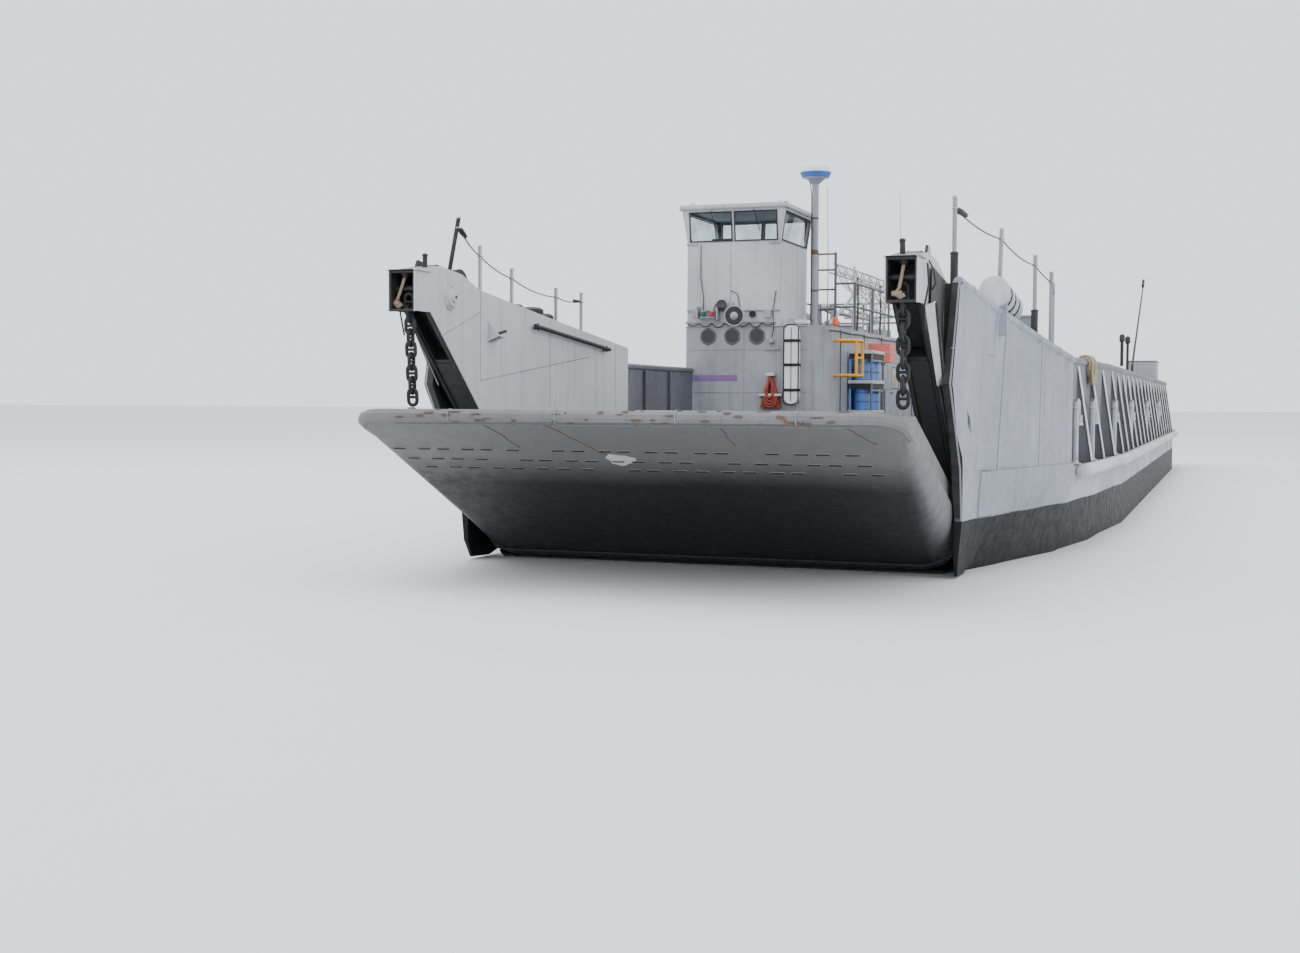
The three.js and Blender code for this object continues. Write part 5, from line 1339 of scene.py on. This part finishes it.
def dress_roof_gear():
    """Poles, wire tangle and crates on the deckhouse roof behind the pilothouse."""
    poles, wires, boxes = Sketch(), Sketch(), Sketch()
    # Columns: y, x at the foot, x and z at the head
    for y, x0, x1, z in (
        (19.4, -1.62, -1.60, 5.05), (21.2, -1.60, -1.66, 4.85), (23.0, -1.70, -1.62, 4.95),
        (19.6, -3.9, -3.9, 4.7), (22.4, -3.95, -3.95, 4.62),
    ):
        poles.tube([(x0, y, ROOF), ((x0 + x1) / 2, y, (z + ROOF) / 2), (x1, y, z)], 0.022, 10)
        poles.lathe((x0, y, ROOF), UP, [(0.06, 0), (0.06, 0.012), (0.03, 0.03)], 14)
    tops = [(-1.60, 19.4, 5.0), (-1.66, 21.2, 4.8), (-1.62, 23.0, 4.9)]
    for a, b in zip(tops, tops[1:]):
        wires.tube(sagging(a, b, 0.12), 0.012, 6)
        lower = (Vector(a) - Vector((0, 0, 0.45)), Vector(b) - Vector((0, 0, 0.42)))
        wires.tube(sagging(*lower, 0.18), 0.010, 6)
    for a in between(tops[0], tops[2], 8):
        bent = (a.x + rng.uniform(-0.12, 0.12), a.y + rng.uniform(-0.2, 0.2), 4.25)
        wires.tube([(a.x, a.y, 3.62), bent, (a.x, a.y + 0.25, 4.68)], 0.012, 6)
    rusted = Sketch()
    for x, y, z in ((-1.70, 20.15, 4.86), (-1.68, 21.35, 4.84), (-1.70, 22.57, 4.84)):
        rusted.tube([(x, y, ROOF), (x + 0.02, y, 4.3), (x, y, z)], 0.026, 10)
        rusted.lathe((x, y, ROOF), UP, [(0.07, 0), (0.07, 0.014), (0.035, 0.05)], 14)
    rusted.piece("roof_rusted_poles", "rusty")
    for dz, dx in ((0.0, -0.11), (0.0, 0.11), (0.19, 0.0)):
        poles.tube(
            [(-1.92 + dx, 18.9, 4.88 + dz), (-1.84 + dx, 22.0, 4.86 + dz), (-1.78 + dx, 25.2, 4.80 + dz)],
            0.020, 8,
        )
    for k in range(16):
        t, half = k / 16, 0.11 if k % 2 else -0.11
        y, x = 19.0 + 6.0 * t, -1.92 + 0.13 * t
        poles.tube([(x - half, y, 4.87), (x, y + 0.2, 5.06), (x + half, y + 0.38, 4.87)], 0.012, 6)
    for k in range(22):
        y = 19.1 + 0.28 * k
        sway = rng.uniform(0.05, 0.3)
        end = (-1.62, y + rng.uniform(0.1, 0.7), 4.55 + rng.uniform(-0.3, 0.3))
        wires.tube(sagging((-1.95, y, 5.0), end, sway, 8), 0.011, 5)
    poles.tube([(-2.0, 18.75, 3.75), (-1.95, 20.4, 4.35), (-1.9, 21.9, 4.92)], 0.036, 10)
    whips = Sketch()
    for x, y, z in ((-1.92, 18.3, 6.65), (-1.50, 24.0, 7.2)):
        whips.lathe((x, y, ROOF), UP, [(0.04, 0), (0.04, 0.16), (0.022, 0.20), (0.016, 0.4)], 12)
        whips.tube([(x, y, 3.95), (x, y, (z + ROOF) / 2), (x - 0.03, y, z)], 0.011, 7, r_end=0.005)
    whips.piece("whip_aerials", "side")
    boxes.box(-3.6, -2.7, 24.2, 25.2, ROOF, 3.98)
    boxes.box(-3.62, -2.68, 24.18, 25.22, 3.97, 4.01)
    boxes.box(-2.5, -1.8, 23.6, 24.4, ROOF, 3.86)
    boxes.lathe(
        (-3.2, 20.9, ROOF), UP, [(0.16, 0), (0.16, 0.35), (0.24, 0.37), (0.24, 0.50), (0.10, 0.56)], 24
    )
    boxes.lathe(
        (-2.7, 21.9, ROOF), UP, [(0.12, 0), (0.12, 0.25), (0.19, 0.27), (0.19, 0.38), (0.08, 0.42)], 24
    )
    poles.piece("roof_poles", "light")
    wires.piece("roof_wires", "light", slot="chain_steel")
    boxes.piece("roof_boxes", "house", bevel=0.008)


def dress_house_side():
    """Portholes, door fittings, drum bands, rack lips with painted shadow under the shelves, and box fronts
    on the deckhouse's port wall.
    """
    rims, panes, dark, grey = Sketch(), Sketch(), Sketch(), Sketch()
    for y in (22.9, 24.1):
        porthole(rims, panes, (WALL, y, 2.75), PORT, 0.14)
    grey.box(WALL, WALL + 0.05, 21.24, 21.28, 1.40, 3.16)
    grey.box(WALL, WALL + 0.03, 21.26, 22.10, 3.14, 3.17)
    for y in (17.0, 19.2, 21.0, 24.7):
        grey.box(WALL, WALL + 0.02, y - 0.012, y + 0.012, 1.25, 3.56)
    dark.tube([(WALL + 0.03, 15.97 + 0.9 * k, 3.50 + 0.02 * (k % 2)) for k in range(11)], 0.013, 7)
    # Drum bands and bungs
    bands, bungs = Sketch(), Sketch()
    for tier in range(3):
        floor_z = RACK_FLOOR + TIER * tier
        for y in DRUM_ROWS:
            for h in (0.02, 0.19, 0.37, 0.54):
                bands.lathe((-1.04, y, floor_z + h), UP, hoop(0.177, 0.186, 0.012, 0.006), 26)
            bungs.lathe(
                (-0.98, y + 0.07, floor_z + 0.56), UP, [(0.03, -0.002), (0.03, 0.012), (0.02, 0.014)], 12
            )
    bands.piece("drum_ribs", "blue", slot="blue_plastic")
    bungs.piece("drum_bungs", "white", slot="blue_plastic")
    # The rack's shelves: bearers and lips, and below all but the lowest a black strip of painted shadow
    # under the shelf
    lips, straps = Sketch(), Sketch()
    for k in range(4):
        z = RACK_FLOOR - 0.06 + TIER * k
        for y in (17.66, 18.79):
            grey.box(-1.30, -0.83, y - 0.012, y + 0.012, z + 0.01, z + 0.05)
        lips.box(-1.31, -0.79, 17.615, 17.640, z, z + 0.07)
        lips.box(-0.815, -0.79, 17.64, 18.83, z, z + 0.07)
        # Black strips of painted shadow under the shelves above
        if k:
            straps.box(-1.29, -0.83, 17.625, 17.638, z - 0.11, z - 0.002)
            straps.box(-0.828, -0.805, 17.66, 18.80, z - 0.11, z - 0.002)
    lips.piece("rack_lips", "light", bevel=0.004)
    straps.piece("rack_shelf_shadows", "black", slot="black_paint", bevel=0.003)
    # The grey box has a raised edge round a tan block, the red box has studs
    for z in (2.38, 2.84):
        grey.box(-0.822, -0.808, 19.74, 20.46, z, z + 0.03)
    for y in (19.74, 20.46):
        grey.box(-0.822, -0.808, y - 0.015, y + 0.015, 2.38, 2.87)
    rims.piece("side_porthole_rims", "light")
    panes.piece("side_porthole_panes", "dark_glass", slot="window_glass")
    dark.piece("side_cable", "black", slot="fender_rubber")
    grey.piece("side_fittings", "side", bevel=0.003)
    tan = Sketch().box(-0.825, -0.80, 19.95, 20.25, 2.45, 2.70)
    tan.piece("locker_block", "tan", slot="blue_plastic", bevel=0.01)
    studs, stud = Sketch(), [(0.022, -0.002), (0.022, 0.008), (0.014, 0.010)]
    for y in (19.82, 20.0, 20.18):
        for z in (3.04, 3.17, 3.30):
            studs.lathe((-0.862, y, z), PORT, stud, 12)
    for x in (-1.28, -0.91):
        studs.lathe((x, 19.698, 3.17), FORE, stud, 12)
    studs.piece("locker_studs", "light")
    # Dogs, handle and round lights that ride on the two doors
    handles = Sketch()
    for z in (1.75, 2.3, 2.85):
        out = WALL + 0.085
        handles.tube([(WALL + 0.055, 21.95, z), (out, 21.95, z), (out, 21.80, z + 0.01)], 0.012, 8)
    handles.lathe((WALL + 0.05, 21.68, 2.55), PORT, [(0.12, -0.002), (0.12, 0.012), (0.10, 0.018)], 24)
    handles.piece("deckhouse_door_dogs", "chain", "deckhouse_door")
    knob = Sketch().tube([(-2.53, 18.065, 4.45), (-2.53, 18.10, 4.45), (-2.63, 18.10, 4.45)], 0.012, 8)
    knob.lathe((-2.74, 18.064, 4.95), (0, 1, 0), [(0.13, -0.002), (0.13, 0.010), (0.11, 0.016)], 24)
    knob.piece("pilothouse_door_handle", "chain", "pilothouse_door")


def dress_house_far_walls():
    """Portholes, louvred intakes, a grab rail and seams on the deckhouse's outboard and after walls."""
    outboard, after, rail_z = -4.29, HOUSE_AFTER, 3.22
    rims, panes, fittings, seams = Sketch(), Sketch(), Sketch(), Sketch()
    for y in (17.6, 19.3, 23.2, 24.9):
        porthole(rims, panes, (outboard, y, 2.75), (-1, 0, 0), 0.14)
    for x in (-3.55, -2.05):
        porthole(rims, panes, (x, after, 2.75), (0, 1, 0), 0.14)
    # Louvred intakes, by their forward edges
    for y in (20.4, 21.6):
        for z in (2.26, 2.90):
            fittings.box(outboard - 0.03, outboard + 0.01, y - 0.04, y + 0.84, z, z + 0.04)
        for edge in (y - 0.04, y + 0.80):
            fittings.box(outboard - 0.03, outboard + 0.01, edge, edge + 0.04, 2.30, 2.90)
        for k in range(7):
            z = 2.315 + 0.082 * k
            slat = [(outboard + 0.002, y, z + 0.05), (outboard - 0.026, y, z)]
            slat += [(outboard - 0.026, y + 0.8, z), (outboard + 0.002, y + 0.8, z + 0.05)]
            fittings.slab(slat, Vector((0, 0, 0.012)))
    rail = [(outboard - 0.07, 16.5 + 1.1 * k, rail_z) for k in range(9)]
    fittings.tube(rail, 0.02, 8)
    for held in rail:
        fittings.tube([(outboard + 0.01, *held[1:]), held], 0.012, 6)
    fittings.box(outboard - 0.022, outboard + 0.01, 16.3, 25.55, 3.555, 3.585)
    fittings.box(-3.94, -1.68, after - 0.01, after + 0.022, 3.555, 3.585)
    fittings.box(-3.05, -2.55, after - 0.01, after + 0.09, 2.35, 2.95)
    for y in (18.4, 20.1, 22.7, 24.05):
        seams.tube([(outboard - 0.001, y, z) for z in (1.28, 2.4, 3.54)], 0.0065, 6)
    for x in (-3.15, -2.45):
        seams.tube([(x, after + 0.001, z) for z in (1.28, 1.8, 2.33)], 0.0065, 6)
    rims.piece("far_porthole_rims", "light")
    panes.piece("far_porthole_panes", "dark_glass", slot="window_glass")
    fittings.piece("far_wall_fittings", "side", bevel=0.003)
    seams.piece("far_wall_welds", "weld")


def dress_deck():
    """Deck seams, rings on the pads, caps on bollards and goosenecks, and posts on the port rail."""
    seams, rings, caps, mouths = Sketch(), Sketch(), Sketch(), Sketch()
    for k in range(11):
        y = 9.0 + 3.0 * k
        beside_house = HOUSE_FRONT < y < HOUSE_AFTER
        seams.box(-1.2 if beside_house else -3.55, 3.55, y - 0.007, y + 0.007, DECK - 0.002, DECK + 0.005)
    for x in (-1.15, 1.15, 3.4):
        seams.box(x - 0.007, x + 0.007, 8.7, 41.0, DECK - 0.002, DECK + 0.005)
    for x in (-0.9, 2.1):
        for k in range(5):
            y = 10.0 + 6 * k
            for dx in (-0.05, 0.05):
                rings.tube(arc_points((x + dx * 1.2, y, DECK + 0.014), 0.05, 0, 180, 8, "yz"), 0.012, 8)
            rings.tube(ring_points((x, y - 0.02, DECK + 0.028), 0.07, 16, "xy"), 0.011, 8, closed=True)
    # Double bollards; the middle one to starboard stands further aft, behind the house
    for sx in (-1, 1):
        for y in (12.4, 27.0 if sx > 0 else 30.5, 39.2):
            for dy in (-0.26, 0.26):
                cap = [(0.09, -0.03), (0.145, -0.02), (0.145, 0.0), (0.10, 0.018), (0.02, 0.024)]
                caps.lathe((sx * 3.56, y + dy, 1.64), UP, cap, 26)
    # Goosenecks, left out to starboard beside the house
    for y in (8.9, 10.65, 13.65, 18.15, 24.15, 30.15):
        for side, sx in SIDES:
            if side == "starboard" and HOUSE_FRONT < y < HOUSE_AFTER:
                continue
            x = sx * (along(DECK_HALF, y) - 0.11)
            caps.lathe((x, y, DECK), UP, [(0.09, -0.002), (0.09, 0.016), (0.052, 0.022), (0.050, 0.05)], 20)
            caps.lathe((x, y, 2.02), UP, hoop(0.05, 0.057, 0.014, 0.01), 20)
            # Dark discs across the vents' mouths: painted shade inside them
            mouths.lathe((x, y + 0.31, 1.757), UP, [(0.064, -0.003), (0.064, 0.006), (0.02, 0.006)], 20)
            lip = [(0.072, -0.018), (0.080, -0.014), (0.080, 0.012), (0.072, 0.018)]
            caps.lathe((x, y + 0.31, 1.775), UP, lip, 22)
    seams.piece("deck_seams", "deck_weld")
    rings.piece("lashing_rings", "rusty", slot="chain_steel")
    caps.piece("bollard_caps", "light")
    mouths.piece("vent_mouth_shade", "hole", slot="black_paint")
    post = Sketch()
    # Columns: y, foot, head, radius
    for y, low, high, r in ((20.3, 2.87, 3.50, 0.035), (22.2, 2.70, 3.53, 0.03)):
        post.tube([(3.98, y, low), (3.98, y, high)], r, 12)
    spar = [(4.0, 23.65, 2.72), (4.0, 23.68, 2.95), (4.0, 25.2, 3.75), (4.0, 27.7, 5.07)]
    post.tube(spar, 0.034, 10, r_end=0.016)
    blade = [(3.97, 27.55, 5.02), (3.97, 27.85, 5.18), (3.97, 27.82, 5.25), (3.97, 27.52, 5.09)]
    post.slab(blade, (0.06, 0, 0))
    for y, z in ((20.3, 3.50), (22.2, 3.53)):
        head = [(0.035, -0.12), (0.058, -0.10), (0.058, 0.0), (0.045, 0.035), (0.01, 0.05)]
        post.lathe((3.98, y, z), UP, head, 14)
    post.piece("rail_posts", "black", slot="black_paint")


def dress_stern():
    """Ribs on the gate, the winch's wire, the locker's door and the hatch dogs."""
    ribs, dark, grey = Sketch(), Sketch(), Sketch()
    gate_y = 42.33
    for face in (-1, 1):
        skin, upright, level_rib = (gate_y + face * out for out in (0.054, 0.085, 0.075))
        for k in range(9):
            x = -2.0 + 0.5 * k
            ribs.box(x - 0.02, x + 0.02, *sorted((skin, upright)), 1.47, 2.70)
        for z in (1.75, 2.2, 2.66):
            ribs.box(-2.2, 2.2, *sorted((skin, level_rib)), z - 0.015, z + 0.015)
    ribs.piece("stern_gate_ribs", "gate", "stern_gate", bevel=0.004)
    # The winch wire: 14 turns of 20 steps each
    steps = 20 * 14
    wire = []
    for i in range(steps + 1):
        a = 2 * pi * i / 20
        wire.append((-3.76 + 0.66 * i / steps, 37.5 + 0.316 * cos(a), 1.85 + 0.316 * sin(a)))
    dark.tube(wire, 0.022, 7)
    dark.piece("winch_wire", "steel", slot="chain_steel")
    grey.box(3.09, 3.10, 36.9, 37.65, 1.35, 3.15)
    for z in (1.6, 2.9):
        grey.lathe((3.085, 36.93, z - 0.08), UP, [(0.02, 0), (0.02, 0.16), (0.01, 0.165)], 10)
    grey.tube([(3.09, 37.55, 2.25), (3.055, 37.55, 2.25), (3.055, 37.42, 2.25)], 0.012, 8)
    grey.box(3.08, 3.97, 36.48, 38.42, 3.375, 3.40)
    grey.piece("stern_locker_fittings", "side", bevel=0.004)
    for side, sx in SIDES:
        dogs = Sketch()
        for dx in (-0.25, 0.25):
            x = sx * 3.3 + dx
            dogs.tube([(x, 33.58, 1.50), (x, 33.56, 1.56), (x, 33.72, 1.565)], 0.014, 8)
        dogs.lathe((sx * 3.3, 34.0, 1.54), UP, [(0.10, -0.002), (0.10, 0.014), (0.08, 0.018)], 24)
        dogs.piece("hatch_dogs_" + side, "chain", "hatch_lid_" + side)


# In this order, because the ramp and the roof gear draw random numbers in turn
for dress_part in (
    dress_ramp, dress_ramp_seats, dress_chains, dress_horns, dress_shells, dress_bow_plates, dress_walls,
    dress_wing_tops, dress_lifelines, dress_bulwarks, dress_house_front, dress_litter_and_hose,
    dress_pilothouse, dress_dome, dress_roof_gear, dress_house_side, dress_house_far_walls, dress_deck,
    dress_stern,
):
    dress_part()

# Floor and light
bpy.ops.mesh.primitive_plane_add(size=400, location=(0, 0, WATERLINE))
floor = bpy.context.object
floor.name = "floor"
floor_graph = Graph("floor", 0.6)
floor_graph.colour(floor_graph.mix(floor_graph.noise(0.6), linear(222, 223, 225), linear(228, 229, 231)))
floor.data.materials.append(floor_graph.material)
world = bpy.data.worlds.new("studio")
bpy.context.scene.world = world
world.use_nodes = True
backdrop = world.node_tree.nodes["Background"]
backdrop.inputs["Color"].default_value = (0.90, 0.92, 0.96, 1)
backdrop.inputs["Strength"].default_value = 1.75


def area_light(name, place, aim, size, power):
    """A rectangular light at a place, turned to what it is aimed at."""
    data = bpy.data.lights.new(name, "AREA")
    data.shape = "RECTANGLE"
    data.size, data.size_y = size
    data.energy = power
    lamp = bpy.data.objects.new(name, data)
    bpy.context.scene.collection.objects.link(lamp)
    lamp.location = place
    lamp.rotation_euler = (Vector(aim) - Vector(place)).to_track_quat("-Z", "Y").to_euler()


# Columns: name, place, aim, size, power
area_light("overhead", (-6, -4, 22), (0, 0, 0), (26, 34), 5200)
area_light("bow_fill", (4, -30, 2.9), (0.5, -10, 0.9), (18, 3.2), 300)
area_light("port_sky", (26, -16, 12), (0, -4, 1), (16, 20), 1700)
